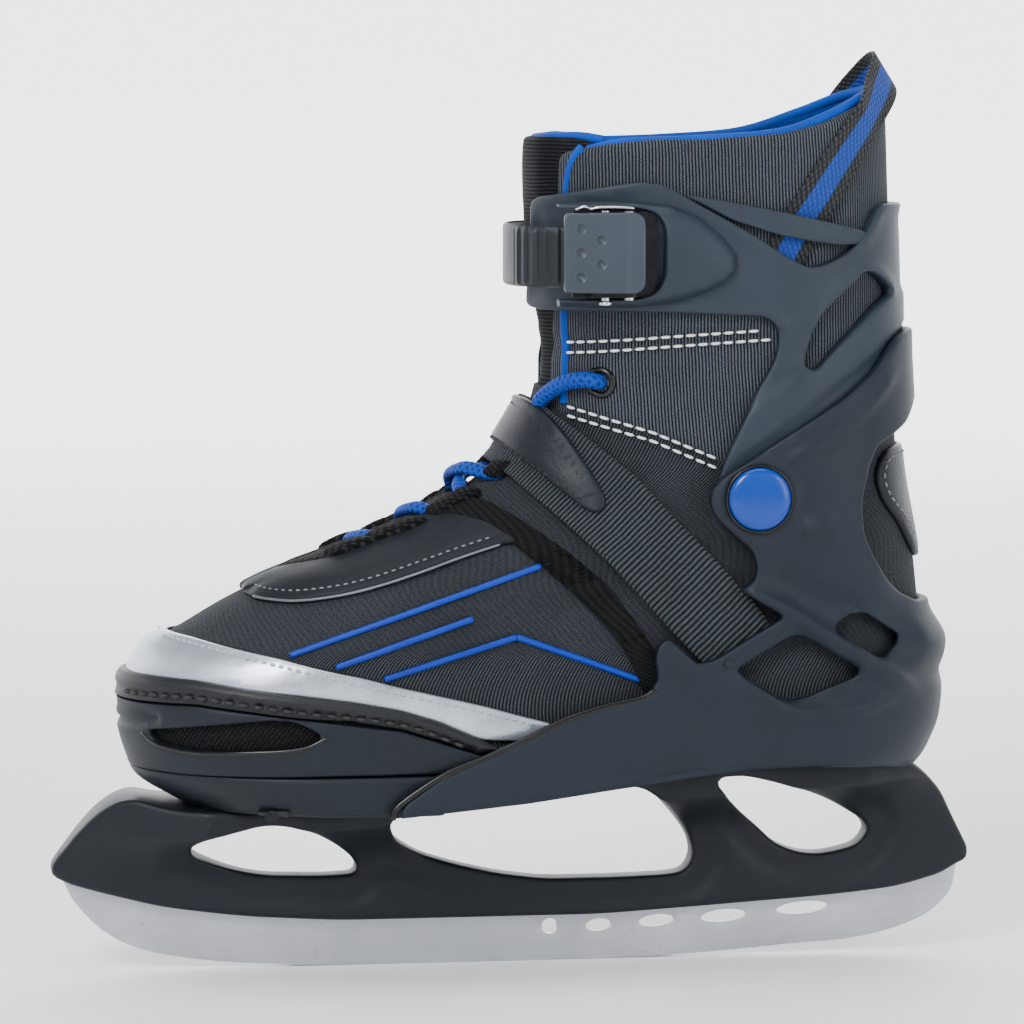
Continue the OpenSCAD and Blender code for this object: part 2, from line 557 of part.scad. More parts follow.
blade();
blade_holder();
holder_screws();
holder_nuts();
sole_tray();
heel_shell();
lasting_board();
footbed();
boot_foot();
heel_patch();
binding_rear();
piping_rear();
instep_strap();
strap_patch();
strap_rivets();
pivot_rivets();
pivot_caps();
button_spring();
stop_screw();
size_button();
toe_shell();
size_rack();
rack_screws();
toe_welt();
toe_band();
boot_toe();
vamp_overlay();
eyestay_binding();
piping_front();
lace_keepers();
lace_vamp();
cuff();
pivot_washers();
boot_shaft();
collar_lining();
tongue();
eyelets();
lace_ankle();
pull_loop();
buckle_base();
base_rivets();
lever_pin();
pawl_pin();
pawl_spring();
ladder_strap();
ladder_rivet();
buckle_lever();
buckle_pawl();
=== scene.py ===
import bpy
import numpy as np
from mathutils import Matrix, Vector
from mathutils.geometry import delaunay_2d_cdt


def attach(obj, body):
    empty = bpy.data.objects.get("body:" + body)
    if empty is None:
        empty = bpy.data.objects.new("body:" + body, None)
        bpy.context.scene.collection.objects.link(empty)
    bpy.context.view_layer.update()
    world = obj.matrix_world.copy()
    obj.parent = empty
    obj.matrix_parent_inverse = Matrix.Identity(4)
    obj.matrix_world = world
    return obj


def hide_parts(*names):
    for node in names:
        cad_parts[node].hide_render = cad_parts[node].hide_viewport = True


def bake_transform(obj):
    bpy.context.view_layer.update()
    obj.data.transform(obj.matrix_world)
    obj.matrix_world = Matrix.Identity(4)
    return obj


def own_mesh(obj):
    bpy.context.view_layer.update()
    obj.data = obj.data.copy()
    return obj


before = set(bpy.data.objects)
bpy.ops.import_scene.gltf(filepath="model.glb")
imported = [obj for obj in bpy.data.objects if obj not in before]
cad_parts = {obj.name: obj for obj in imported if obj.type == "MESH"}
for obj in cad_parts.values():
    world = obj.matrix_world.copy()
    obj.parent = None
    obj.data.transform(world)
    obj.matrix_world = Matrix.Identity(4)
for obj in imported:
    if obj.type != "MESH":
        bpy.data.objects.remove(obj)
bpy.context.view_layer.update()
mm = 0.001  # every length below is in millimetres and becomes metres when its mesh is made

# camera: degrees round the object and up, distance and aim in mm, lens in mm
view = dict(azimuth=-8.0, elevation=5.0, distance=1500.0, aim=(0.0, 0.0, 145.0), lens=164.8)


def makeCamera():
    az, el = np.radians(view["azimuth"]), np.radians(view["elevation"])
    back = Vector((np.sin(az) * np.cos(el), -np.cos(az) * np.cos(el), np.sin(el)))
    camera = bpy.data.objects.new("camera", bpy.data.cameras.new("camera"))
    camera.location = (Vector(view["aim"]) + back * view["distance"]) * mm
    camera.rotation_euler = back.to_track_quat("Z", "Y").to_euler()
    camera.data.lens = view["lens"]
    bpy.context.scene.collection.objects.link(camera)
    bpy.context.scene.camera = camera


def areaLight(name, place, aim, size, watts):
    lamp = bpy.data.lights.new(name, "AREA")
    lamp.shape, lamp.size, lamp.size_y, lamp.energy = "RECTANGLE", *size, watts
    obj = bpy.data.objects.new(name, lamp)
    obj.location = place
    obj.rotation_euler = (Vector(place) - Vector(aim)).to_track_quat("Z", "Y").to_euler()
    bpy.context.scene.collection.objects.link(obj)


# each lamp, in metres and watts: place, what it is aimed at, size, power
lamps = dict(
    keyLight=((-0.75, -1.25, 1.15), (0, 0, 0.13), (0.6, 0.6), 32),
    fillLight=((1.1, -1.0, 0.55), (0.02, 0, 0.12), (0.7, 1.0), 9),
    backLight=((0.35, 1.1, 0.9), (0, 0, 0.15), (1.2, 0.8), 10),
    topLight=((0, -0.1, 1.4), (0, 0, 0.1), (1.0, 0.8), 10),
)
# studio bowl in metres: flat radius, bend radius, wall height; the glow rises with Y from one place to the other
studio = dict(flat=3.2, bend=1.5, wall=3.0, sides=96, glowFrom=0.25, glowTo=2.6, glow=2.3, ambient=0.35)


def makeLights():
    for name, lamp in lamps.items():
        areaLight(name, *lamp)
    world = bpy.data.worlds.new("studio")
    world.use_nodes = True
    sky = world.node_tree.nodes["Background"].inputs
    sky["Color"].default_value = (0.93, 0.95, 1.0, 1)
    sky["Strength"].default_value = studio["ambient"]
    bpy.context.scene.world = world


def makeFloor():
    # round bowl: flat, then a quarter circle up to a low wall; its far half glows like a lit backdrop
    a = np.linspace(0, np.pi / 2, 16)[1:]
    flat, bend, n = studio["flat"], studio["bend"], studio["sides"]
    r = np.concatenate([[0.01, flat], flat + bend * np.sin(a), [flat + bend]])
    h = np.concatenate([[0, 0], bend - bend * np.cos(a), [studio["wall"]]])
    turn = np.linspace(0, 2 * np.pi, n, endpoint=False)
    verts = np.stack([r[:, None] * np.cos(turn), r[:, None] * np.sin(turn), np.repeat(h[:, None], n, 1)], -1)
    i, j = np.meshgrid(np.arange(len(r) - 1), np.arange(n), indexing="ij")
    quads = np.stack([i * n + j, (i + 1) * n + j, (i + 1) * n + (j + 1) % n, i * n + (j + 1) % n], -1)
    mesh = bpy.data.meshes.new("floor")
    mesh.from_pydata(verts.reshape(-1, 3).tolist(), [], quads.reshape(-1, 4).tolist() + [list(range(n))])
    mesh.polygons.foreach_set("use_smooth", np.ones(len(mesh.polygons), bool))
    floor = bpy.data.objects.new("floor", mesh)
    bpy.context.scene.collection.objects.link(floor)
    mat = bpy.data.materials.new("floorPaper")
    mat.use_nodes = True
    tree = mat.node_tree
    shader = tree.nodes["Principled BSDF"].inputs
    shader["Base Color"].default_value = (0.92, 0.92, 0.925, 1)
    shader["Roughness"].default_value = 0.6
    shader["Emission Color"].default_value = (0.97, 0.98, 1.0, 1)
    y = addNode(tree, "SeparateXYZ", {0: addNode(tree, "TexCoord").outputs["Object"]}).outputs[1]
    rise = addNode(tree, "MapRange", {"Value": y, "From Min": studio["glowFrom"], "From Max": studio["glowTo"],
                                      "To Min": 0.0, "To Max": studio["glow"]}, interpolation_type="SMOOTHSTEP")
    tree.links.new(rise.outputs["Result"], shader["Emission Strength"])
    mesh.materials.append(mat)


def unit(v):
    return v / np.linalg.norm(v, axis=-1, keepdims=True)


def lengthAlong(p):  # distance from the start of a path to each of its points
    return np.concatenate([[0], np.cumsum(np.linalg.norm(np.diff(p, axis=0), axis=1))])


# height against a place along X, a roundness or a half width, as in the CAD model
form = dict(
    front=[(54, -104), (62, -117), (70, -120.5), (78, -123), (88, -124), (97, -122), (105, -117), (110, -108),
           (119, -92.5), (125, -80), (131, -63), (140, -39), (150, -21), (160, -8), (168, -2), (176, 3), (186, 6.5),
           (200, 7), (214, 6), (238, 4), (262, 3.5), (285, 6)],
    back=[(54, 112), (60, 120), (68, 128), (75, 131), (100, 133), (129, 131), (157, 126), (190, 123), (225, 122),
          (285, 119)],
    frontRound=[(54, 60), (100, 62), (112, 85), (135, 95), (160, 70), (185, 42), (210, 34), (285, 34)],
    backRound=[(54, 36), (130, 36), (170, 42), (285, 46)],
    footHalf=[(-130, 40), (-80, 42), (-45, 42.5), (-10, 40), (30, 36.5), (80, 34), (140, 33)],
    ankleHalf=[(54, 36), (200, 36), (240, 37), (285, 38)],
)


def clamp(v):
    return np.clip(v, 0.0, 1.0)


def ease(a, b, v):  # smooth step from 0 at a to 1 at b
    t = clamp((np.asarray(v, float) - a) / (b - a))
    return t * t * (3 - 2 * t)


def curve(table, v):  # cubic Hermite through a table's points, with finite-difference slopes
    x, y = np.array(table, float).T
    slope = np.gradient(y, x)
    v = np.clip(np.asarray(v, float), x[0], x[-1])
    i = np.clip(np.searchsorted(x, v, side="right") - 1, 0, len(x) - 2)
    h = x[i + 1] - x[i]
    t = (v - x[i]) / h
    return ((2 * t**3 - 3 * t**2 + 1) * y[i] + (t**3 - 2 * t**2 + t) * h * slope[i]
            + (3 * t**2 - 2 * t**3) * y[i + 1] + (t**3 - t**2) * h * slope[i + 1])


def dome(d, r):  # quarter circle: 0 at d = 0, 1 from d = r on
    return np.sqrt(1 - (1 - clamp(d / r)) ** 2)


def halfWidth(x, z):
    k = ease(105, 165, z)
    w = curve(form["footHalf"], x) * (1 - k) + curve(form["ankleHalf"], z) * k
    return (w * dome(x - curve(form["front"], z), curve(form["frontRound"], z))
            * dome(curve(form["back"], z) - x, curve(form["backRound"], z)))


turnSteps = 360  # steps from the toe round to the heel in the tables of the boot's surface


def skinTables():
    # the boot's half surface on a grid of height and turn, with normals and arc length from the toe
    z = np.arange(50.0, 291.0)
    turn = np.linspace(0, np.pi, turnSteps + 1)
    f, b = curve(form["front"], z)[:, None], curve(form["back"], z)[:, None]
    x = f + (b - f) * (1 - np.cos(turn)) / 2
    zz = np.repeat(z[:, None], len(turn), 1)
    p = np.stack([x, halfWidth(x, zz), zz], -1)
    dt, dz = np.gradient(p, axis=1), np.gradient(p, axis=0)
    n = np.cross(dz, dt)
    n /= np.linalg.norm(n, axis=2, keepdims=True) + 1e-12
    n[:, 0, 1] = n[:, -1, 1] = 0
    n /= np.linalg.norm(n, axis=2, keepdims=True) + 1e-12
    seg = np.linalg.norm(np.diff(p[:, :, :2], axis=1), axis=2)
    arc = np.concatenate([np.zeros((len(z), 1)), np.cumsum(seg, 1)], 1)
    v = np.linspace(0, 1, turnSteps + 1)
    even = np.empty((len(z), len(v), 6))
    for i in range(len(z)):
        rows = np.concatenate([p[i], n[i]], 1)
        even[i] = np.stack([np.interp(v * arc[i, -1], arc[i], rows[:, c]) for c in range(6)], 1)
    return z, arc, even


skinZ, skinArc, skinEven = skinTables()


def bilinear(grid, i, j):
    i0 = np.clip(i.astype(int), 0, grid.shape[0] - 2)
    j0 = np.clip(j.astype(int), 0, grid.shape[1] - 2)
    s, t = i - i0, j - j0
    if grid.ndim == 3:
        s, t = s[:, None], t[:, None]
    return (grid[i0, j0] * (1 - s) * (1 - t) + grid[i0 + 1, j0] * s * (1 - t)
            + grid[i0, j0 + 1] * (1 - s) * t + grid[i0 + 1, j0 + 1] * s * t)


def rowOf(z):
    return np.clip(z - skinZ[0], 0, len(skinZ) - 1.001)


def onSkin(flat, off, anchor="front"):
    # flat holds (arc length from the anchor's mid line, height); a negative arc is the outer side
    a, z = flat[:, 0], flat[:, 1]
    total = np.interp(z, skinZ, skinArc[:, -1])
    u = np.abs(a) if anchor == "front" else total - np.abs(a)
    rows = bilinear(skinEven, rowOf(z), clamp(u / total) * turnSteps)
    p = rows[:, :3] + unit(rows[:, 3:]) * np.reshape(off, (-1, 1))
    p[:, 1] *= np.where(a < 0, -1.0, 1.0)
    return p


def toFlat(outline, side=-1, off=0.0, anchor="front"):
    # side view (x, z) to the flat coordinates of onSkin
    x, z = np.array(outline, float).T
    f, b = curve(form["front"], z) - off, curve(form["back"], z) + off
    turn = np.arccos(np.clip(1 - 2 * (x - f) / (b - f), -1, 1))
    u = bilinear(skinArc, rowOf(z), turn / np.pi * turnSteps)
    total = np.interp(z, skinZ, skinArc[:, -1])
    return np.stack([side * (u if anchor == "front" else total - u), z], 1)


def makeObject(name, mesh, mat, body=None):
    # mesh = (points in mm, triangles, UV per point in mm of surface)
    verts, tris, uv = mesh
    data = bpy.data.meshes.new(name)
    data.vertices.add(len(verts))
    data.vertices.foreach_set("co", (verts * mm).ravel())
    data.loops.add(tris.size)
    data.loops.foreach_set("vertex_index", tris.ravel())
    data.polygons.add(len(tris))
    data.polygons.foreach_set("loop_start", np.arange(0, tris.size, 3))
    data.polygons.foreach_set("loop_total", np.full(len(tris), 3))
    data.polygons.foreach_set("use_smooth", np.full(len(tris), True))
    data.update(calc_edges=True)
    data.validate()
    data.uv_layers.new(name="UVMap").data.foreach_set("uv", (uv[tris.ravel()] / 100).ravel())
    data.materials.append(mat)
    obj = bpy.data.objects.new(name, data)
    bpy.context.scene.collection.objects.link(obj)
    if body:
        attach(obj, body)
    return obj


def outward(verts, tris):  # flips a closed mesh whose signed volume is negative
    p = verts[tris]
    volume = np.einsum("ij,ij->i", p[:, 0], np.cross(p[:, 1], p[:, 2])).sum()
    return tris if volume > 0 else tris[:, ::-1]


def join(*meshes):
    starts = np.cumsum([0] + [len(m[0]) for m in meshes])
    verts, tris, uv = zip(*[(v, f + at, uv) for (v, f, uv), at in zip(meshes, starts)])
    return np.concatenate(verts), np.concatenate(tris), np.concatenate(uv)


def asTris(quads):
    return np.concatenate([quads[:, [0, 1, 2]], quads[:, [0, 2, 3]]])


def gridTris(m, n, ring=False):
    # triangles between m rows of n points; each row is closed, and ring joins the last row to the first
    i, j = np.meshgrid(np.arange(m if ring else m - 1), np.arange(n), indexing="ij")
    a, b = i * n + j, i * n + (j + 1) % n
    c, d = (i + 1) % m * n + (j + 1) % n, (i + 1) % m * n + j
    return asTris(np.stack([a, b, c, d], -1).reshape(-1, 4))


def closeEnds(verts, tris, m, n):
    # fans over the first and last of m rows of n points, round a new point in the middle of each
    k, last = np.arange(n), (m - 1) * n
    fans = [np.stack([np.full(n, m * n), (k + 1) % n, k], 1),
            np.stack([np.full(n, m * n + 1), last + k, last + (k + 1) % n], 1)]
    return (np.concatenate([verts, verts[:n].mean(0, keepdims=True), verts[last:].mean(0, keepdims=True)]),
            np.concatenate([tris] + fans))


def roundLoop(points, radius):
    # corners of a closed outline become quadratic arcs that start up to radius away
    p = np.array(points, float)
    radius = np.broadcast_to(radius, len(p))
    out = []
    for i in range(len(p)):
        a, c, b = p[i - 1], p[i], p[(i + 1) % len(p)]
        la, lb = np.linalg.norm(a - c), np.linalg.norm(b - c)
        cut = min(radius[i], 0.48 * la, 0.48 * lb)
        s, e = c + (a - c) / la * cut, c + (b - c) / lb * cut
        t = np.linspace(0, 1, 7)[:, None]
        out.append(s * (1 - t) ** 2 + 2 * c * t * (1 - t) + e * t**2)
    return np.concatenate(out)


def evenLoop(points, step, closed=True):
    p = np.concatenate([points, points[:1]]) if closed else np.array(points, float)
    d = lengthAlong(p)
    n = max(6, int(round(d[-1] / step)))
    s = np.linspace(0, d[-1], n + 1)[: n if closed else n + 1]
    return np.stack([np.interp(s, d, p[:, k]) for k in range(p.shape[1])], 1)


def smoothPath(points, step):
    # Catmull-Rom through given points, then even steps
    p = np.array(points, float)
    q = np.concatenate([2 * p[:1] - p[1:2], p, 2 * p[-1:] - p[-2:-1]])
    t = np.linspace(0, 1, 12, endpoint=False)[:, None]
    parts = []
    for i in range(1, len(q) - 2):
        a, b, c, d = q[i - 1], q[i], q[i + 1], q[i + 2]
        parts.append(0.5 * (2 * b + (c - a) * t + (2 * a - 5 * b + 4 * c - d) * t**2 + (3 * b - a - 3 * c + d) * t**3))
    return evenLoop(np.concatenate(parts + [q[-2:-1]]), step, False)


def distanceTo(points, loops):
    best = np.full(len(points), 1e9)
    for loop in loops:
        a, b = loop, np.roll(loop, -1, 0)
        ab = b - a
        for start in range(0, len(points), 4000):
            q = points[start:start + 4000, None] - a
            t = clamp((q * ab).sum(2) / (ab * ab).sum(1))
            d = np.linalg.norm(q - t[..., None] * ab, axis=2).min(1)
            best[start:start + 4000] = np.minimum(best[start:start + 4000], d)
    return best


def inside(points, loops):
    odd = np.zeros(len(points), bool)
    for loop in loops:
        a, b = loop, np.roll(loop, -1, 0)
        for start in range(0, len(points), 4000):
            x, y = points[start:start + 4000, 0, None], points[start:start + 4000, 1, None]
            hit = ((a[:, 1] > y) != (b[:, 1] > y)) & (x < (b[:, 0] - a[:, 0]) * (y - a[:, 1])
                                                     / (b[:, 1] - a[:, 1] + 1e-12) + a[:, 0])
            odd[start:start + 4000] ^= (hit.sum(1) % 2).astype(bool)
    return odd


def fillDomain(loops, step, insets):
    # triangles over a flat outline with holes: rings at the inset distances, then an even lattice
    edges, at, border = [], 0, []
    for loop in loops:
        n = len(loop)
        edges += [(at + i, at + (i + 1) % n) for i in range(n)]
        border.append(np.arange(at, at + n))
        at += n
    points = [np.concatenate(loops)]
    for loop in loops:
        ahead = np.roll(loop, -1, 0) - np.roll(loop, 1, 0)
        normal = np.stack([-ahead[:, 1], ahead[:, 0]], 1) / (np.linalg.norm(ahead, axis=1, keepdims=True) + 1e-9)
        for d in insets:
            for s in (1, -1):
                q = loop + normal * d * s
                points.append(q[inside(q, loops) & (distanceTo(q, loops) > 0.9 * d)])
    low, high = np.min(loops[0], 0), np.max(loops[0], 0)
    gx, gy = np.arange(low[0], high[0], step), np.arange(low[1], high[1], step * 0.87)
    lattice = np.stack(np.meshgrid(gx, gy, indexing="ij"), -1)
    lattice[:, 1::2, 0] += step / 2
    lattice = lattice.reshape(-1, 2)
    lattice = lattice[inside(lattice, loops)]
    lattice = lattice[distanceTo(lattice, loops) > (insets[-1] if insets else 0) + step * 0.55]
    points.append(lattice)
    points = np.concatenate(points)
    result = delaunay_2d_cdt([Vector(q) for q in points], edges, [], 0, 1e-7)
    verts = np.array([tuple(v) for v in result[0]])
    tris = np.array([t for t in result[2] if len(t) == 3])
    tris = tris[inside(verts[tris].mean(1), loops)]
    dist = distanceTo(verts, loops)
    origin = {o: new for new, sources in enumerate(result[3]) for o in sources}
    border = [np.array([origin[i] for i in ring]) for ring in border]
    return verts, tris, dist, border


def shellPlate(loops, step, insets, top, bottom):
    # closed plate: top and bottom map flat points (with their distance to the edge) to space
    flat, tris, dist, border = fillDomain(loops, step, insets)
    verts, n = np.concatenate([top(flat, dist), bottom(flat, dist)]), len(flat)
    faces = [tris, tris[:, ::-1] + n]
    # a border strip turns against the plate's own edges
    edges = set(map(tuple, np.concatenate([tris[:, [0, 1]], tris[:, [1, 2]], tris[:, [2, 0]]]).tolist()))
    for a in border:
        b = np.roll(a, -1)
        strip = np.concatenate([np.stack([a, b, b + n], 1), np.stack([a, b + n, a + n], 1)])
        faces.append(strip[:, ::-1] if (int(a[0]), int(a[1])) in edges else strip)
    return verts, outward(verts, np.concatenate(faces)), np.concatenate([flat, flat])


def plateOn(loops, step, insets, off, thick, radius, anchor, relief, back):
    # closed plate on the boot with a rounded edge: its height runs from thick - radius up to thick within radius
    # of the edge. relief(x, z, edge distance) adds to the outer face; back gives the inner face's own offsets.
    radius = min(radius, thick * 0.95)

    def top(flat, dist):
        rise = thick - radius + radius * dome(dist, radius)
        if relief is not None:
            base = onSkin(flat, off, anchor)
            rise = rise + relief(base[:, 0], base[:, 2], dist)
        return onSkin(flat, off + rise, anchor)

    def bottom(flat, dist):
        return onSkin(flat, off if back is None else back(flat), anchor)
    return shellPlate(loops, step, insets, top, bottom)


def skinPlate(outline, side, off, thick, radius, corner, step, anchor="front", relief=None):
    # plate on one side of the boot, drawn in side view
    loop = toFlat(evenLoop(roundLoop(outline, corner), step * 0.7), side, off, anchor)
    insets = [radius * 0.3, radius] if radius > 0.25 else []
    return plateOn([loop], step, insets, off, thick, radius, anchor, relief, None)


def spread(half):  # an open line in flat coordinates, with its mirror image in reverse
    return np.concatenate([half, half[::-1] * [-1, 1]])


def stretch(loop, keep):  # the open part of a closed loop where keep holds
    start = int(np.argmax(keep & ~np.roll(keep, 1)))
    return np.roll(loop, -start, 0)[np.roll(keep, -start)]


def wrapPlate(outline, off, thick, radius, anchor, corner, step, holes=(), relief=None, back=None, holeCorner=2.0):
    # plate that passes the mid line: outline is its outer half, mirrored to the inner side
    half = toFlat(evenLoop(roundLoop(outline, corner), step * 0.7), -1, off, anchor)
    half = stretch(half, np.abs(half[:, 0]) > 0.4)
    ends = half[[0, -1]] * [0, 1]
    loops = [evenLoop(np.concatenate([ends[:1], half, ends[1:], half[::-1] * [-1, 1]]), step * 0.7)]
    for hole in holes:
        h = toFlat(evenLoop(roundLoop(hole, holeCorner), step * 0.7), -1, off, anchor)
        if np.abs(h[:, 0]).min() < 0.5:
            loops.append(evenLoop(spread(stretch(h, np.abs(h[:, 0]) > 0.5)), step * 0.7))
        else:
            loops += [h, h * [-1, 1]]
    return plateOn(loops, step, [radius * 0.3, radius], off, thick, radius, anchor, relief, back)


def sweep(path, across, up, profile):
    # profile points (s, t) carried along path: s along across, t along up; the ends are closed
    ring = path[:, None] + across[:, None] * profile[None, :, :1] + up[:, None] * profile[None, :, 1:]
    m, n = len(path), len(profile)
    verts, tris = closeEnds(ring.reshape(-1, 3), gridTris(m, n), m, n)
    along = lengthAlong(path)
    uv = np.stack([np.repeat(along, n), np.tile(lengthAlong(profile), m)], 1)
    return verts, outward(verts, tris), np.concatenate([uv, [[along[0], 0], [along[-1], 0]]])


def circle(r, n=12, r2=None):
    a = np.linspace(0, 2 * np.pi, n, endpoint=False)
    return np.stack([r * np.cos(a), (r2 or r) * np.sin(a)], 1)


def frameAlong(path, hint):
    # unit vectors across and up for a sweep; hint is roughly the up direction at each point
    t = unit(np.gradient(path, axis=0))
    hint = np.broadcast_to(hint, path.shape)
    up = unit(hint - (hint * t).sum(1, keepdims=True) * t)
    return np.cross(t, up), up


def skinNormals(flat, anchor="front"):
    return onSkin(flat, 1, anchor) - onSkin(flat, 0, anchor)


def stitchRow(path, normals, length, gap, radius, sink=0.1):
    # separate thread stitches along a path, each an arched capsule that dips in at both ends:
    # with s from 0 to 1 its radius follows (1 - (2s - 1)^4)^0.5 and its height sin(pi s)
    d = lengthAlong(path)
    starts = np.arange(gap / 2, d[-1] - length, length + gap)
    rings, sides = 7, 6
    s = np.linspace(0, 1, rings)
    at = starts[:, None] + s[None] * length
    p = np.stack([np.interp(at, d, path[:, k]) for k in range(3)], -1)
    n = unit(np.stack([np.interp(at, d, normals[:, k]) for k in range(3)], -1))
    b = np.cross(n, unit(np.gradient(p, axis=1)))[:, :, None]
    swell = radius * np.sqrt(np.clip(1 - (2 * s - 1) ** 4, 0.03, 1))[None, :, None, None]
    lift = (radius * (0.2 + np.sin(np.pi * s)) - sink)[None, :, None]
    a = np.linspace(0, 2 * np.pi, sides, endpoint=False)[:, None]
    verts = ((p + n * lift)[:, :, None] + swell * (np.cos(a) * b + np.sin(a) * n[:, :, None])).reshape(-1, 3)
    k = np.arange(1, sides - 1)
    cap = np.stack([0 * k, k + 1, k], 1)
    one = np.concatenate([gridTris(rings, sides), cap, cap[:, ::-1] + (rings - 1) * sides])
    tris = (one[None] + (np.arange(len(starts)) * rings * sides)[:, None, None]).reshape(-1, 3)
    return verts, outward(verts, tris), np.zeros((len(verts), 2))


def mirrored(mesh):  # the same mesh on the inner side
    v, f, uv = mesh
    return v * np.array([1, -1, 1]), f[:, ::-1], uv


def nearLine(x, z, line):
    # distance of each point to a polyline in side view, and how far along it the nearest spot is (0 to 1)
    p = np.stack([x, z], 1)
    line = np.array(line, float)
    length = lengthAlong(line)
    best, along = np.full(len(p), 1e9), np.zeros(len(p))
    for i, (a, b) in enumerate(zip(line[:-1], line[1:])):
        t = clamp(((p - a) @ (b - a)) / ((b - a) @ (b - a)))
        d = np.linalg.norm(p - a - t[:, None] * (b - a), axis=1)
        closer = d < best
        best[closer] = d[closer]
        along[closer] = (length[i] + t * (length[i + 1] - length[i]))[closer] / length[-1]
    return best, along


def crease(x, z, line, width, height, fade=0.12):
    # a soft ridge (or groove, with a negative height) along a polyline, fading out at its ends
    d, s = nearLine(x, z, line)
    return height * np.exp(-((d / width) ** 2)) * ease(0, fade, s) * ease(0, fade, 1 - s)


def groove(x, z, line, width, depth):  # the same dip all along a line
    return -depth * np.exp(-((nearLine(x, z, line)[0] / width) ** 2))


def sidePlate(loops, step, radius, half, insets):
    # plate symmetric about the mid plane; half(x, z) is its half thickness

    def face(sign):
        def place(flat, dist):
            h = half(flat[:, 0], flat[:, 1])
            edge = np.minimum(radius, h * 0.9)
            y = h - edge + edge * dome(dist, radius)
            return np.stack([flat[:, 0], sign * y, flat[:, 1]], 1)
        return place
    return shellPlate(loops, step, insets, face(-1), face(1))


def lathe(profile, centre, axis="y", sides=48):
    # profile (r, h) turned about an axis through centre; rings with r = 0 shrink to one point
    profile = np.array(profile, float)
    a = np.linspace(0, 2 * np.pi, sides, endpoint=False)
    h = np.repeat(profile[:, 1:], sides, 1)
    u, v = profile[:, :1] * np.cos(a), profile[:, :1] * np.sin(a)
    p = (np.stack({"y": [u, h, v], "z": [u, v, h]}[axis], -1) + centre).reshape(-1, 3)
    merge = np.arange(len(p))
    for end, row in ((0, slice(0, sides)), (-1, slice(-sides, None))):
        if profile[end, 0] < 1e-6:
            merge[row] = merge[row][0]
    tris = merge[gridTris(len(profile), sides)]
    tris = tris[(tris[:, 0] != tris[:, 1]) & (tris[:, 1] != tris[:, 2]) & (tris[:, 0] != tris[:, 2])]
    used, tris = np.unique(tris, return_inverse=True)
    verts, tris = p[used], tris.reshape(-1, 3)
    return verts, outward(verts, tris), np.zeros((len(verts), 2))


def loft(rings):
    # closed tube through rings of equal size
    m, n = rings.shape[:2]
    verts, tris = closeEnds(rings.reshape(-1, 3), gridTris(m, n), m, n)
    return verts, outward(verts, tris), np.zeros((len(verts), 2))


# materials
def addNode(tree, kind, inputs=None, **props):
    node = tree.nodes.new("ShaderNode" + kind)
    for key, value in props.items():
        setattr(node, key, value)
    for key, value in (inputs or {}).items():
        if isinstance(value, bpy.types.NodeSocket):
            tree.links.new(value, node.inputs[key])
        else:
            node.inputs[key].default_value = value
    return node


def calc(tree, operation, a, b=0.0, c=0.0):
    return addNode(tree, "Math", {0: a, 1: b, 2: c}, operation=operation).outputs[0]


def blendColour(tree, factor, a, b, mode="MIX"):
    return addNode(tree, "Mix", {0: factor, 6: a, 7: b}, data_type="RGBA", blend_type=mode).outputs[2]


def span(tree, value, low, high, to0=0.0, to1=1.0):  # value from low..high to to0..to1, clamped
    return addNode(tree, "MapRange", {0: value, 1: low, 2: high, 3: to0, 4: to1}).outputs[0]


def noise(tree, at, scale, detail=2.0, rough=0.5):
    return addNode(tree, "TexNoise", {"Vector": at, "Scale": scale, "Detail": detail, "Roughness": rough}).outputs[0]


def scaled(tree, colour, factor):
    return addNode(tree, "VectorMath", {0: colour, 3: factor}, operation="SCALE").outputs[0]


finish = {"Colour": "Color", "Roughness": "Float", "Normal": "Vector"}


def newGroup(name, inputs):
    tree = bpy.data.node_groups.new(name, "ShaderNodeTree")
    for label, default in inputs.items():
        kind = "NodeSocketColor" if isinstance(default, tuple) else "NodeSocketFloat"
        tree.interface.new_socket(label, in_out="INPUT", socket_type=kind).default_value = default
    for label, kind in finish.items():
        tree.interface.new_socket(label, in_out="OUTPUT", socket_type="NodeSocket" + kind)
    return tree, tree.nodes.new("NodeGroupInput").outputs, tree.nodes.new("NodeGroupOutput").inputs


def output(tree, o, colour, rough, height, strength, depth):
    # a group's results: colour, roughness, and a normal bumped by height over depth in metres
    bump = addNode(tree, "Bump", {"Height": height, "Strength": strength, "Distance": depth})
    for label, socket in (("Colour", colour), ("Roughness", rough), ("Normal", bump.outputs[0])):
        tree.links.new(socket, o[label])
    return tree


uvTurn = 628.3185  # 2 pi per UV unit of 100 mm


def linear(r, g, b):  # screen colour 0..255 to a linear colour
    c = np.array([r, g, b]) / 255
    c = np.where(c <= 0.04045, c / 12.92, ((c + 0.055) / 1.055) ** 2.4)
    return (*[float(v) for v in c], 1.0)


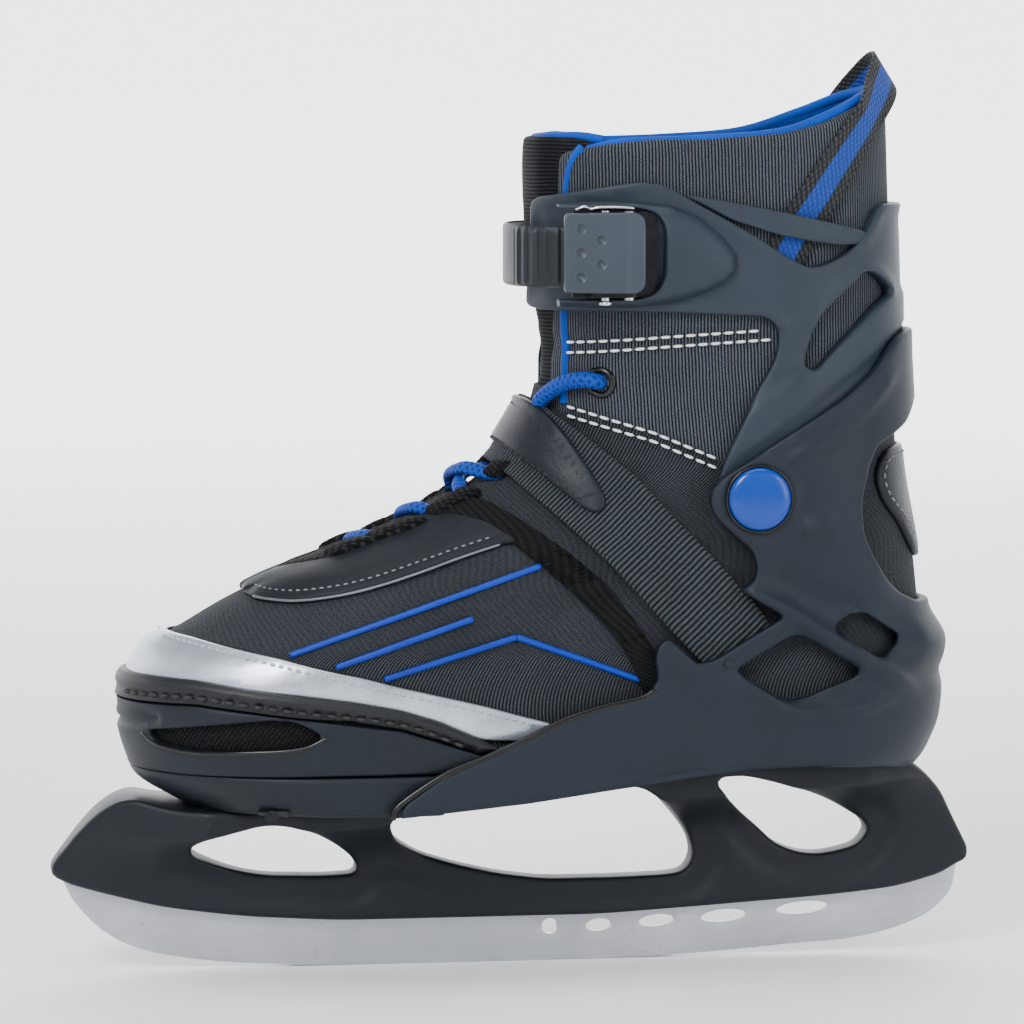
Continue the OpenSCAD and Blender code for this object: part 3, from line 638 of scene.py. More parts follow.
def makeMouldedGroup():
    # spark-eroded plastic: a fine grain, cloudy tone and thin pale scuffs
    tree, i, o = newGroup("mouldedPlastic", {"Colour": (0.03, 0.035, 0.04, 1), "Roughness": 0.5, "Grain": 0.2,
                                             "Grain size": 0.35, "Scuffs": 0.3})
    at = addNode(tree, "TexCoord").outputs["Object"]
    size = calc(tree, "DIVIDE", 1000.0, i["Grain size"])
    grain = noise(tree, at, size, 2.0, 0.6)
    cloud = noise(tree, at, 28.0, 4.0, 0.55)
    stretch = addNode(tree, "Mapping", {"Vector": at, "Rotation": (0.3, 0.5, 0.9), "Scale": (16, 260, 260)}).outputs[0]
    scratch = noise(tree, stretch, 3.0, 2.0, 0.5)
    patch = span(tree, cloud, 0.52, 0.7)
    scuff = calc(tree, "MULTIPLY", calc(tree, "MULTIPLY", span(tree, scratch, 0.66, 0.76), patch), i["Scuffs"])
    tone = span(tree, cloud, 0.3, 0.7, 0.86, 1.12)
    speck = span(tree, grain, 0.3, 0.7, 0.9, 1.12)
    tint = scaled(tree, i["Colour"], calc(tree, "MULTIPLY", tone, speck))
    pale = scaled(tree, i["Colour"], 2.6)
    rough = calc(tree, "ADD", i["Roughness"], span(tree, cloud, 0.3, 0.7, -0.05, 0.06))
    rough = calc(tree, "ADD", rough, calc(tree, "MULTIPLY", scuff, 0.15))
    return output(tree, o, blendColour(tree, scuff, tint, pale), rough, grain, i["Grain"], 0.0003)


def makeRibGroup():
    # ribbed cloth on the UV map (100 mm per unit): ribs across U, finer cross threads across V
    tree, i, o = newGroup("ribbedCloth", {"Yarn": (0.05, 0.06, 0.07, 1), "Shadow": (0.004, 0.004, 0.005, 1),
                                          "Rib pitch": 1.1, "Cross pitch": 0.7, "Angle": 0.0, "Cross": 0.35,
                                          "Relief": 0.6, "Uneven": 0.75})
    uv = addNode(tree, "UVMap").outputs[0]
    x, y, _ = addNode(tree, "SeparateXYZ", {0: uv}).outputs
    cosA, sinA = calc(tree, "COSINE", i["Angle"]), calc(tree, "SINE", i["Angle"])
    u = calc(tree, "ADD", calc(tree, "MULTIPLY", x, cosA), calc(tree, "MULTIPLY", y, sinA))
    v = calc(tree, "SUBTRACT", calc(tree, "MULTIPLY", y, cosA), calc(tree, "MULTIPLY", x, sinA))
    wobble = noise(tree, uv, 9.0)
    u = calc(tree, "ADD", u, calc(tree, "MULTIPLY", wobble, 0.006))
    ribPhase = calc(tree, "DIVIDE", calc(tree, "MULTIPLY", u, uvTurn), i["Rib pitch"])
    rib = span(tree, calc(tree, "SINE", ribPhase), -0.75, 0.85)
    crossPhase = calc(tree, "DIVIDE", calc(tree, "MULTIPLY", v, uvTurn), i["Cross pitch"])
    cross = span(tree, calc(tree, "SINE", calc(tree, "ADD", crossPhase, calc(tree, "MULTIPLY", ribPhase, 0.5))), -0.9,
                 0.9)
    yarn = noise(tree, uv, 260.0, 2.0, 0.6)
    weave = calc(tree, "MULTIPLY", rib, calc(tree, "ADD", calc(tree, "MULTIPLY", cross, i["Cross"]),
                                             calc(tree, "SUBTRACT", 1.0, i["Cross"])))
    uneven = calc(tree, "MULTIPLY", i["Uneven"], span(tree, yarn, 0.3, 0.7, -1.0, 1.0))
    light = addNode(tree, "Clamp", {0: calc(tree, "MULTIPLY", weave, calc(tree, "ADD", 1.0, uneven))}).outputs[0]
    broad = noise(tree, uv, 3.0, 3.0)
    tone = scaled(tree, i["Yarn"], span(tree, broad, 0.3, 0.7, 0.85, 1.15))
    colour, rough = blendColour(tree, light, i["Shadow"], tone), span(tree, light, 0.0, 1.0, 0.95, 0.72)
    return output(tree, o, colour, rough, light, i["Relief"], 0.0004)


def makeLeatherGroup():
    # pebbled synthetic leather: cells of two sizes, with painted shade darkening the valleys
    tree, i, o = newGroup("pebbledLeather", {"Colour": (0.03, 0.035, 0.04, 1), "Pebble": 0.8, "Relief": 0.35,
                                             "Roughness": 0.45})
    at = addNode(tree, "TexCoord").outputs["Object"]
    size = calc(tree, "DIVIDE", 1000.0, i["Pebble"])
    cells = addNode(tree, "TexVoronoi", {"Vector": at, "Scale": size, "Randomness": 1.0},
                    feature="SMOOTH_F1").outputs["Distance"]
    fine = noise(tree, at, calc(tree, "MULTIPLY", size, 1.7), 3.0)
    height = calc(tree, "ADD", calc(tree, "MULTIPLY", cells, -0.7), calc(tree, "MULTIPLY", fine, 0.5))
    broad = noise(tree, at, 45.0, 3.0)
    # tone: a random broad tone times painted shade, darker where the height is low in the pebbles' valleys
    tone = calc(tree, "MULTIPLY", span(tree, broad, 0.3, 0.7, 0.8, 1.2), span(tree, height, -0.5, 0.3, 0.7, 1.15))
    rough = calc(tree, "ADD", i["Roughness"], span(tree, broad, 0.3, 0.7, -0.08, 0.1))
    return output(tree, o, scaled(tree, i["Colour"], tone), rough, height, i["Relief"], 0.0003)


def makeBraidGroup():
    # round braid on the UV map: two crossing sets of strands, painted shade between them in the Fleck colour, and dark
    # flecks
    tree, i, o = newGroup("roundBraid", {"Colour": (0.01, 0.15, 0.6, 1), "Fleck": (0.004, 0.01, 0.03, 1), "Strand": 1.5,
                                         "Girth": 15.0, "Flecks": 0.4})
    x, y, _ = addNode(tree, "SeparateXYZ", {0: addNode(tree, "UVMap").outputs[0]}).outputs
    along = calc(tree, "DIVIDE", calc(tree, "MULTIPLY", x, uvTurn), calc(tree, "MULTIPLY", i["Strand"], 2.0))
    around = calc(tree, "DIVIDE", calc(tree, "MULTIPLY", y, uvTurn), i["Girth"])
    around = calc(tree, "MULTIPLY", around, 4.0)
    one = span(tree, calc(tree, "SINE", calc(tree, "ADD", along, around)), -1.0, 1.0)
    two = span(tree, calc(tree, "SINE", calc(tree, "SUBTRACT", along, around)), -1.0, 1.0)
    top = calc(tree, "MAXIMUM", one, two)
    at = addNode(tree, "TexCoord").outputs["Object"]
    dark = calc(tree, "MULTIPLY", span(tree, noise(tree, at, 900.0), 0.56, 0.64), i["Flecks"])
    # painted shade: the low parts between the strands are mixed towards the Fleck colour
    shade = blendColour(tree, span(tree, top, 0.1, 0.75, 0.35, 1.0), i["Fleck"], i["Colour"])
    colour, rough = blendColour(tree, dark, shade, i["Fleck"]), span(tree, top, 0.0, 1.0, 0.85, 0.6)
    return output(tree, o, colour, rough, top, 0.9, 0.0004)


def makeSteelGroup():
    # ground steel: fine lines along X, cloudy polish, a few dark specks
    tree, i, o = newGroup("groundSteel", {"Colour": (0.4, 0.41, 0.43, 1), "Roughness": 0.35, "Lines": 0.25,
                                          "Spots": 0.5})
    at = addNode(tree, "TexCoord").outputs["Object"]
    lines = addNode(tree, "Mapping", {"Vector": at, "Scale": (60, 900, 2600)}).outputs[0]
    grind = noise(tree, lines, 1.0, 3.0, 0.7)
    cloud = noise(tree, at, 30.0, 4.0)
    spots = span(tree, noise(tree, at, 700.0, 1.0), 0.7, 0.78)
    tone = calc(tree, "MULTIPLY", span(tree, grind, 0.3, 0.7, 0.9, 1.08), span(tree, cloud, 0.3, 0.7, 0.88, 1.1))
    base = scaled(tree, i["Colour"], tone)
    dull = scaled(tree, i["Colour"], 0.55)
    colour = blendColour(tree, calc(tree, "MULTIPLY", spots, i["Spots"]), base, dull)
    rough = calc(tree, "ADD", i["Roughness"], span(tree, cloud, 0.3, 0.7, -0.07, 0.1))
    rough = calc(tree, "ADD", rough, span(tree, grind, 0.3, 0.7, -0.05, 0.05))
    return output(tree, o, colour, rough, grind, i["Lines"], 0.0001)


groups = dict(plastic=makeMouldedGroup(), cloth=makeRibGroup(), leather=makeLeatherGroup(), braid=makeBraidGroup(),
              steel=makeSteelGroup())


def makeMaterial(name, group, values, own):
    # one Principled shader fed by one of the groups; its own inputs hold constants
    mat = bpy.data.materials.new(name)
    mat.use_nodes = True
    tree = mat.node_tree
    shader = tree.nodes["Principled BSDF"].inputs
    part = tree.nodes.new("ShaderNodeGroup")
    part.node_tree = groups[group]
    for key, value in values.items():
        part.inputs[key].default_value = linear(*value) if isinstance(value, tuple) else value
    for label, key in (("Colour", "Base Color"), ("Roughness", "Roughness"), ("Normal", "Normal")):
        tree.links.new(part.outputs[label], shader[key])
    for key, value in own.items():
        shader[key].default_value = value
    mat.diffuse_color = linear(*values.get("Colour", values.get("Yarn")))
    return mat


# finishes: name, node group, inputs of the group (colours as screen values), inputs of the shader
looks = dict(
    holder=("holderPlastic", "plastic",
            {"Colour": (12, 18, 25), "Roughness": 0.5, "Grain": 0.1}, {"Specular IOR Level": 0.25}),
    shell=("shellPlastic", "plastic",
           {"Colour": (17, 26, 36), "Roughness": 0.52, "Grain": 0.25}, {"Specular IOR Level": 0.25}),
    toeShell=("toeShellPlastic", "plastic",
              {"Colour": (14, 21, 29), "Roughness": 0.5, "Grain": 0.25}, {"Specular IOR Level": 0.25}),
    cuff=("cuffPlastic", "plastic",
          {"Colour": (29, 39, 49), "Roughness": 0.5, "Grain": 0.25}, {"Specular IOR Level": 0.3}),
    lever=("leverPlastic", "plastic",
           {"Colour": (42, 51, 60), "Roughness": 0.4, "Grain": 0.2}, {"Specular IOR Level": 0.38}),
    ladder=("ladderPlastic", "plastic",
            {"Colour": (20, 25, 31), "Roughness": 0.5, "Grain": 0.1}, {"Specular IOR Level": 0.3}),
    welt=("weltRubber", "plastic",
          {"Colour": (9, 12, 17), "Roughness": 0.45, "Grain": 0.35, "Scuffs": 0.1}, {"Specular IOR Level": 0.35}),
    cap=("capGloss", "plastic",
         {"Colour": (0, 52, 140), "Roughness": 0.2, "Grain": 0.03, "Scuffs": 0.05},
         {"Specular IOR Level": 0.3, "Coat Weight": 0.15, "Coat Roughness": 0.05}),
    black=("blackPlastic", "plastic",
           {"Colour": (7, 8, 10), "Roughness": 0.25, "Grain": 0.1, "Scuffs": 0.0}, {"Specular IOR Level": 0.35}),
    steel=("bladeSteel", "steel", {"Colour": (176, 180, 186), "Roughness": 0.42}, {"Metallic": 0.85}),
    chrome=("pinChrome", "steel", {"Colour": (205, 208, 212), "Roughness": 0.2, "Lines": 0.1}, {"Metallic": 1.0}),
    screw=("screwSteel", "steel", {"Colour": (110, 113, 117), "Roughness": 0.35}, {"Metallic": 1.0}),
    darkMetal=("buckleMetal", "steel", {"Colour": (20, 22, 25), "Roughness": 0.3, "Spots": 0.2}, {"Metallic": 0.6}),
    foot=("footCloth", "cloth",
          {"Yarn": (62, 68, 76), "Shadow": (3, 3, 4), "Rib pitch": 1.15, "Cross pitch": 0.8, "Cross": 0.55},
          {"Specular IOR Level": 0.25}),
    quarter=("quarterCloth", "cloth",
             {"Yarn": (80, 88, 98), "Shadow": (4, 4, 5), "Rib pitch": 1.05, "Cross pitch": 0.7, "Cross": 0.5},
             {"Specular IOR Level": 0.25}),
    tongue=("tongueCloth", "cloth",
            {"Yarn": (20, 23, 28), "Shadow": (1, 1, 2), "Rib pitch": 1.2, "Cross pitch": 0.8, "Angle": 1.5708,
             "Cross": 0.5},
            {"Specular IOR Level": 0.2}),
    lining=("blueLining", "cloth",
            {"Yarn": (0, 66, 156), "Shadow": (0, 26, 80), "Rib pitch": 0.7, "Cross pitch": 0.7, "Cross": 0.5,
             "Relief": 0.25},
            {"Specular IOR Level": 0.15}),
    mesh=("bindingMesh", "cloth",
          {"Yarn": (28, 31, 35), "Shadow": (1, 1, 1), "Rib pitch": 1.1, "Cross pitch": 1.1, "Angle": 0.785,
           "Cross": 0.9, "Relief": 0.9},
          {"Specular IOR Level": 0.2}),
    webbing=("strapWebbing", "cloth",
             {"Yarn": (66, 74, 82), "Shadow": (1, 1, 1), "Rib pitch": 1.6, "Cross pitch": 0.9, "Cross": 0.35,
              "Relief": 1.0},
             {"Specular IOR Level": 0.3}),
    trim=("vampLeather", "leather",
          {"Colour": (16, 21, 28), "Pebble": 0.7, "Roughness": 0.55}, {"Specular IOR Level": 0.2}),
    patch=("patchLeather", "leather",
           {"Colour": (19, 24, 31), "Pebble": 0.9, "Roughness": 0.4}, {"Specular IOR Level": 0.22}),
    # edge: a lighter grey that paints the highlight along the overlay's cut edge
    edge=("leatherEdgeHighlight", "leather", {"Colour": (88, 95, 103), "Pebble": 0.7, "Roughness": 0.4}, {}),
    silver=("silverLeather", "leather",
            {"Colour": (184, 193, 204), "Pebble": 0.5, "Relief": 0.1, "Roughness": 0.33}, {"Metallic": 0.7}),
    piping=("bluePiping", "leather",
            {"Colour": (0, 44, 150), "Pebble": 0.4, "Relief": 0.15, "Roughness": 0.42}, {"Specular IOR Level": 0.25}),
    binding=("blueBinding", "leather",
             {"Colour": (0, 60, 150), "Pebble": 0.5, "Relief": 0.3, "Roughness": 0.75}, {"Specular IOR Level": 0.15}),
    lace=("laceBraid", "braid",
          {"Colour": (0, 58, 152), "Fleck": (0, 14, 50), "Girth": 16.5, "Strand": 1.0}, {"Specular IOR Level": 0.2}),
    whiteThread=("whiteThread", "braid", {"Colour": (236, 238, 240), "Fleck": (150, 152, 158), "Flecks": 0.05}, {}),
    paleThread=("paleThread", "braid", {"Colour": (170, 176, 184), "Fleck": (120, 124, 130), "Flecks": 0.05}, {}),
    greyThread=("greyThread", "braid", {"Colour": (120, 126, 134), "Fleck": (60, 64, 70), "Flecks": 0.1}, {}),
    darkThread=("darkThread", "braid",
                {"Colour": (10, 11, 13), "Fleck": (2, 2, 2), "Flecks": 0.1}, {"Specular IOR Level": 0.6}),
    bedFoam=("footbedFoam", "leather", {"Colour": (26, 30, 36), "Pebble": 1.2, "Roughness": 0.8}, {}),
    board=("lastingBoard", "leather", {"Colour": (110, 94, 68), "Pebble": 1.6, "Roughness": 0.85}, {}),
)


def makeStripeMaterial():
    # webbing with a middle stripe: UV across the band picks the colour of the yarn
    mat = makeMaterial("loopWebbing", "cloth", {"Yarn": (50, 56, 63), "Shadow": (2, 2, 2), "Rib pitch": 1.6,
                                                "Cross pitch": 1.6, "Angle": 0.785, "Cross": 0.7, "Relief": 0.9}, {})
    tree = mat.node_tree
    part = next(n for n in tree.nodes if n.type == "GROUP")
    across = addNode(tree, "SeparateXYZ", {0: addNode(tree, "UVMap").outputs[0]}).outputs[1]
    mask = calc(tree, "COMPARE", across, 0.065, 0.032)
    tree.links.new(blendColour(tree, mask, linear(46, 52, 58), linear(0, 74, 160)), part.inputs["Yarn"])
    tree.links.new(blendColour(tree, mask, linear(2, 2, 2), linear(0, 40, 120)), part.inputs["Shadow"])
    return mat


mats = {key: makeMaterial(*look) for key, look in looks.items()}
mats["loop"] = makeStripeMaterial()


def wear(node, mat):  # gives a CAD node its finish
    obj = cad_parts[node]
    obj.data.materials.clear()
    obj.data.materials.append(mat)


def piece(name, mesh, mat, body, slot, *nodes):
    obj = makeObject(name, mesh, mat, body)
    if nodes:
        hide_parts(*nodes)
    return obj


blade = dict(
    half=2.0, grip=6.5, edgeRadius=0.35,
    edge=[(-144, 29), (-141, 23), (-134, 15), (-126, 9.5), (-117, 6), (-107, 4), (-94, 2.2), (-75, 0.8), (-56, 0),
          (28, 0), (55, 0.8), (74, 2), (94, 3.5), (107, 4.2), (121, 6.5), (134, 11), (141, 16), (144.5, 21),
          (146, 29)],
    # holes as place and radii; the ovals are turned by tilt degrees
    hole=(12, 11, 2.6), tilt=4.0,
    ovals=[(28, 11, 4.2, 2.1), (47, 12, 5.8, 2.0), (69, 13, 7.4, 2.1), (95, 15, 8.6, 2.1)],
)
holder = dict(
    grip=[(145, 29), (140, 26), (126, 22), (107, 20), (93, 19), (60, 17), (28, 15.2), (-56, 15.2), (-85, 17),
          (-101, 19), (-114, 21), (-133, 26), (-143, 29)],
    outer=[(-148, 31.5), (-148, 35), (-139, 46.5), (-133, 52.5), (-127, 56), (-122, 57), (-110, 54), (-44, 54),
           (-2, 57.5), (37, 62), (69, 66), (114, 67), (126, 65.5), (132, 61), (139, 54), (143, 46), (149, 34),
           (148.6, 30.6)],
    corners=[2.0] * 2 + [6.0] * 3 + [8.0, 6.0] + [10.0] * 5 + [5.0] * 2 + [8.0] * 2 + [3.0] * 2,
    toeWindow=[(-105, 41), (-101, 44), (-95, 46), (-83, 49), (-77, 49), (-72, 48), (-66, 46), (-60, 42), (-55, 38),
               (-52, 35), (-50.5, 32), (-52, 30), (-60, 29.5), (-79, 30), (-88, 31.5), (-96, 34), (-103, 37)],
    midWindow=[(-42, 48), (-41, 50.5), (-38, 51.5), (-11, 53), (14, 56.5), (34, 59.3), (39, 58.5), (47, 53), (53, 46),
               (57, 40), (58.5, 34), (56, 28.5), (50, 27.5), (34, 27), (10, 27), (-5, 29), (-18, 32), (-31, 36),
               (-39, 41)],
    heelWindow=[(62.5, 59.5), (64, 61.5), (71, 62), (80, 60), (93, 56), (103, 51), (114, 44), (116, 41), (113, 36),
                (106, 34), (99, 33), (92, 34), (85, 37), (80, 42), (73, 48), (66, 55)],
    plan=[(-151, 4.5), (-146, 6), (-138, 8.5), (-126, 13.5), (-113, 20), (-100, 26), (112, 26), (124, 21),
          (131, 16.5), (140, 11), (147, 7.5), (151, 6)],
    wall=7.2, dish=1.7, tilt=np.radians(3.7), top=47.5, flareFrom=25.0, flareTo=8.3, power=1.8,
)


def makeBlade():
    edge = smoothPath(blade["edge"], 2.0)
    grip = np.array(holder["grip"], float) + [0, blade["grip"]]
    grip[:, 0] *= 0.985
    loops = [evenLoop(np.concatenate([edge, evenLoop(grip, 3, False)]), 1.6)]
    a = np.linspace(0, 2 * np.pi, 33)[:-1]
    c, s = np.cos(a), np.sin(a)
    x, z, r = blade["hole"]
    loops.append(np.stack([x + r * c, z + r * s], 1))
    # an oval: its two radii along its own axes, turned by tilt
    ct, st = np.cos(np.radians(blade["tilt"])), np.sin(np.radians(blade["tilt"]))
    for x, z, rx, rz in blade["ovals"]:
        loops.append(np.stack([x + rx * c * ct - rz * s * st, z + rx * c * st + rz * s * ct], 1))
    plate = sidePlate(loops, 3.0, blade["edgeRadius"], lambda x, z: np.full(len(x), blade["half"]),
                      [0.12, blade["edgeRadius"]])
    piece("blade_steel", plate, mats["steel"], "chassis", "blade", "blade")


def makeHolder():
    windows = [evenLoop(roundLoop(holder[k], 5), 1.5) for k in ("toeWindow", "midWindow", "heelWindow")]
    grip = np.array(holder["grip"], float)
    corners = holder["corners"] + [8.0] * len(grip)
    outer = evenLoop(roundLoop(np.concatenate([holder["outer"], grip]), np.array(corners)), 1.7)
    tilt = holder["tilt"]

    def half(x, z):
        up = (z - holder["top"]) * np.cos(tilt) - (x + 200) * np.sin(tilt)
        t = clamp((up + holder["flareFrom"]) / (holder["flareFrom"] - holder["flareTo"]))
        wide = np.interp(x, *np.array(holder["plan"]).T)
        window = distanceTo(np.stack([x, z], 1), windows)
        low = holder["wall"] - holder["dish"] * (1 - ease(6, 12, window)) * (1 - ease(0.55, 0.9, t))
        low = np.minimum(low, wide)
        nose = ease(-118, -138, x) + ease(122, 140, x)
        power = holder["power"] * (1 - 0.45 * clamp(nose))
        return low + (wide - low) * t ** power
    plate = sidePlate([outer] + windows, 2.0, 1.8, half, [0.25, 0.8, 1.8])
    piece("holder_body", plate, mats["holder"], "chassis", "holder", "blade_holder")


tray = dict(off=3.4, low=54.0, high=66.6, end=-27.0, slot=[(-86.5, 55.9), (-76.5, 55.9), (-76.5, 57.6), (-86.5, 57.6)])
toeShell = dict(
    off=0.4, thick=3.0,
    outline=[(-145, 87.8), (-124, 88.1), (-103, 88.6), (-88, 87), (-72, 85), (-41, 81), (-16, 72.6), (-8, 69.6),
             (-6, 67.3), (-145, 67.3)],
    vent=[(-117, 80.5), (-104, 82.5), (-82, 85), (-74, 84.6), (-65, 79.6), (-72, 76.2), (-88, 75.4), (-103, 75),
          (-114, 76.5)],
    grooves=[[(-130, 87.4), (-120, 86), (-112.5, 84.2)], [(-130, 80.5), (-120, 82), (-112.5, 84)]],
    lip=[(-117.5, 79.6), (-113, 76.2), (-103, 74.7), (-88, 75), (-72, 75.9), (-64, 79.3)],
    step=[(-96, 82.9), (-80, 86), (-60, 81.5), (-30, 75.5), (-12, 69.5)],
)


def ringAt(z, off, samples=260):
    # closed section of the boot at one height, from the toe round the outer side to the heel and back
    total = np.interp(z, skinZ, skinArc[:, -1])
    a = np.linspace(-total, total, samples, endpoint=False)
    return onSkin(np.stack([a, np.full(samples, float(z))], 1), off, "front")


def makeTray():
    levels = [(tray["low"], -6), (tray["low"], -1.6), (tray["low"] + 0.5, -0.5), (tray["low"] + 1.6, 0)]
    levels += [(z, 0) for z in np.linspace(tray["low"] + 3, tray["high"] - 0.5, 7)] + [(tray["high"], -0.5)]
    rings = []
    for z, inset in levels:
        ring = ringAt(z, tray["off"] + inset)
        ring[:, 2] = z
        ring[:, 0] = np.minimum(ring[:, 0], tray["end"] + min(inset, 0))
        rings.append(ring)
    piece("toe_tray", loft(np.array(rings)), mats["toeShell"], "chassis", "tray", "sole_tray")
    # the slot over the stop screw is painted shade: a dark plate set into the outer wall where the slot's shade shows
    slot = skinPlate(tray["slot"], -1, tray["off"] - 0.6, 0.75, 0.1, 0.5, 1.0)
    piece("tray_slot_shade", slot, mats["black"], "chassis", "tray")
    wear("stop_screw", mats["darkMetal"])


def makeToeShell():
    def relief(x, z, dist):
        rise = sum(crease(x, z, line, 1.0, -1.3, 0.1) for line in toeShell["grooves"])
        d, s = nearLine(x, z, toeShell["step"])
        above = z > np.interp(x, *np.array(toeShell["step"]).T)
        rise = rise - 0.45 * ease(2.2, 0, d) * above * ease(0, 0.15, s) * ease(0, 0.1, 1 - s)
        between = ease(80.6, 81.6, z) * ease(86.6, 85.6, z)
        return rise - 0.5 * between * ease(-113, -118, x)
    plate = wrapPlate(toeShell["outline"], toeShell["off"], toeShell["thick"], 0.8, "front", 1.5, 1.4,
                      [toeShell["vent"]], relief, None, 3.0)
    piece("toe_cap", plate, mats["toeShell"], "toe", "shell", "toe_shell")
    piece("toe_vent_lip", tubeOn(toeShell["lip"], 3.1, 0.8, True, 0.7), mats["black"], "toe", "shell")
    wear("size_rack", mats["ladder"])
    wear("rack_screws", mats["screw"])
    wear("size_button", mats["screw"])


# return spring of the button: a coil along Y that shortens as the button goes in
spring = dict(x=-81.0, z=61.2, low=14.0, high=21.8, radius=3.05, wire=0.42, turns=5, keep=0.66)


def makeSpring():
    # helix: angle a, radius r, and y growing evenly with a
    a = np.linspace(0, 2 * np.pi * spring["turns"], 24 * spring["turns"] + 1)
    out = np.stack([np.cos(a), 0 * a, np.sin(a)], 1)
    y = np.linspace(spring["low"] + spring["wire"], spring["high"] - spring["wire"], len(a))
    path = out * spring["radius"] + [spring["x"], 0, spring["z"]] + y[:, None] * [0, 1, 0]
    across, up = frameAlong(path, out)
    coil = piece("button_return_spring", sweep(path, across, up, circle(spring["wire"], 8)), mats["chrome"], "chassis",
                 "screw_steel", "button_spring")
    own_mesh(coil)


heelShell = dict(
    off=3.9, thick=3.1,
    outline=[(-44.5, 54), (-2, 57.5), (37, 62), (69, 66), (114, 67), (128, 65.5), (165, 65.5), (165, 203),
             (124, 203.5), (119, 201), (111, 191), (101, 183), (85, 173), (70, 164), (61, 159), (57.5, 155),
             (57, 151), (58.5, 147), (61, 144), (66, 140), (71.5, 136), (73.5, 131), (73, 126.5), (68, 123),
             (76, 118.5), (83, 114.5), (60, 101), (54, 100), (49, 104.5), (44, 108.5), (41, 106), (40, 101.5),
             (41.3, 96), (39, 92), (34, 89.3), (22, 87), (9, 83), (-4, 77), (-16, 72), (-29, 67), (-42, 58.5)],
    windows=[[(67, 97.5), (86, 108.3), (90, 108), (107.5, 97.5), (107, 95), (90, 88.3), (83, 87.8)],
             [(99, 110), (105, 115.2), (109.5, 115), (121, 107.3), (120.3, 105), (115.5, 100.3), (112.5, 100.8)]],
    opening=[(165, 191.5), (131, 190.5), (127.5, 182), (122, 173.5), (115, 169), (111.5, 167.5), (108.5, 161),
             (106.3, 150), (107.3, 140), (110.5, 133), (116, 125.5), (122, 120.5), (130, 116.5), (165, 116)],
    spine=[(67, 123.5), (82, 117), (95, 108), (108, 99.5), (118, 93), (127, 87)],
    # facets below and above the spine: line, width, height, share of it that fades out
    creases=[([(64, 96), (74, 90), (84, 84.5), (96, 83), (108, 85.5), (119, 90)], 2.2, 1.9, 0.2),
             ([(70, 128), (80, 126), (91, 119), (101, 116.5), (112, 117)], 6.0, -2.6, 0.25),
             ([(84, 141), (92, 143.5), (99, 142)], 3.0, 2.1, 0.3),
             ([(76, 160), (90, 168), (103, 177), (113, 187), (119, 194)], 2.2, 1.6, 0.2)],
    # waves round the heel: height, level, width
    waves=[(1.3, 103, 6.5), (-1.1, 93.5, 3.0), (-0.5, 72, 4.0)],
)
pivot = dict(x=72.0, z=152.0, cap=9.8, gapShade=10.8, face=45.6)


def makeHeelShell():
    windows = [evenLoop(roundLoop(w, 2.5), 1.5) for w in heelShell["windows"]]

    def relief(x, z, dist):
        d, s = nearLine(x, z, heelShell["spine"])
        rise = 3.2 * np.exp(-np.abs(d) / 2.6) * ease(0, 0.08, s) * ease(0, 0.2, 1 - s)
        inWindow = distanceTo(np.stack([x, z], 1), windows)
        dip = (1 - ease(0.5, 7.5, inWindow)) * (1 - np.exp(-((d / 4.0) ** 2)))
        rise = rise - 1.5 * dip
        for line, width, height, fade in heelShell["creases"]:
            rise = rise + crease(x, z, line, width, height, fade)
        r = np.hypot(x - pivot["x"], z - pivot["z"])
        rise = rise + 0.9 * (1 - ease(11.5, 14, r)) - 0.8 * (1 - ease(9.9, 10.7, r))
        heel = ease(112, 130, x)
        wave = sum(h * np.exp(-(((z - level) / width) ** 2)) for h, level, width in heelShell["waves"])
        lower = -1.6 * ease(74, 62, z)
        return rise + heel * wave + lower * ease(0, 60, x) + lean(x, z)

    def lean(x, z):  # the cup's back rim closes in on the heel
        return -4.0 * ease(103, 116, z) * ease(140, 124, z) * ease(104, 124, x)

    def innerFace(flat):  # leans with the outer one
        base = onSkin(flat, heelShell["off"], "back")
        return heelShell["off"] + lean(base[:, 0], base[:, 2])
    plate = wrapPlate(heelShell["outline"], heelShell["off"], heelShell["thick"], 0.9, "back", 1.6, 2.0,
                      heelShell["windows"] + [heelShell["opening"]], relief, innerFace, 2.2)
    # the floor that closes the shell above the holder
    x = np.linspace(-43.5, 133.5, 90)
    low = np.interp(x, [-44, -2, 37, 69, 114, 134], [54, 57.5, 62, 66, 67, 68]) + 0.15
    y = np.linspace(-1, 1, 21)
    wide = np.array([np.interp(v, *sortedSide(z + 1.5)) for v, z in zip(x, low)])
    under = np.stack([np.repeat(x[:, None], 21, 1), wide[:, None] * y, np.repeat(low[:, None], 21, 1)], -1)
    over = under + [0, 0, 3.2]
    floor = slab(under, over)
    # glossy black tube on the shell's front chamfer: the chamfer is real, its black colour is painted shade
    edge = tubeOn(heelShell["outline"][:1] + heelShell["outline"][:-9:-1], 6.3, 1.1, True, 0.8)
    piece("heel_shell_front_edge_shade", edge, mats["black"], "chassis", "shell")
    piece("heel_shell_body", join(plate, floor), mats["shell"], "chassis", "shell", "heel_shell")


def sortedSide(z):
    ring = ringAt(z, 6.0)
    side = ring[ring[:, 1] <= 0]
    order = np.argsort(side[:, 0])
    return side[order, 0], -side[order, 1]


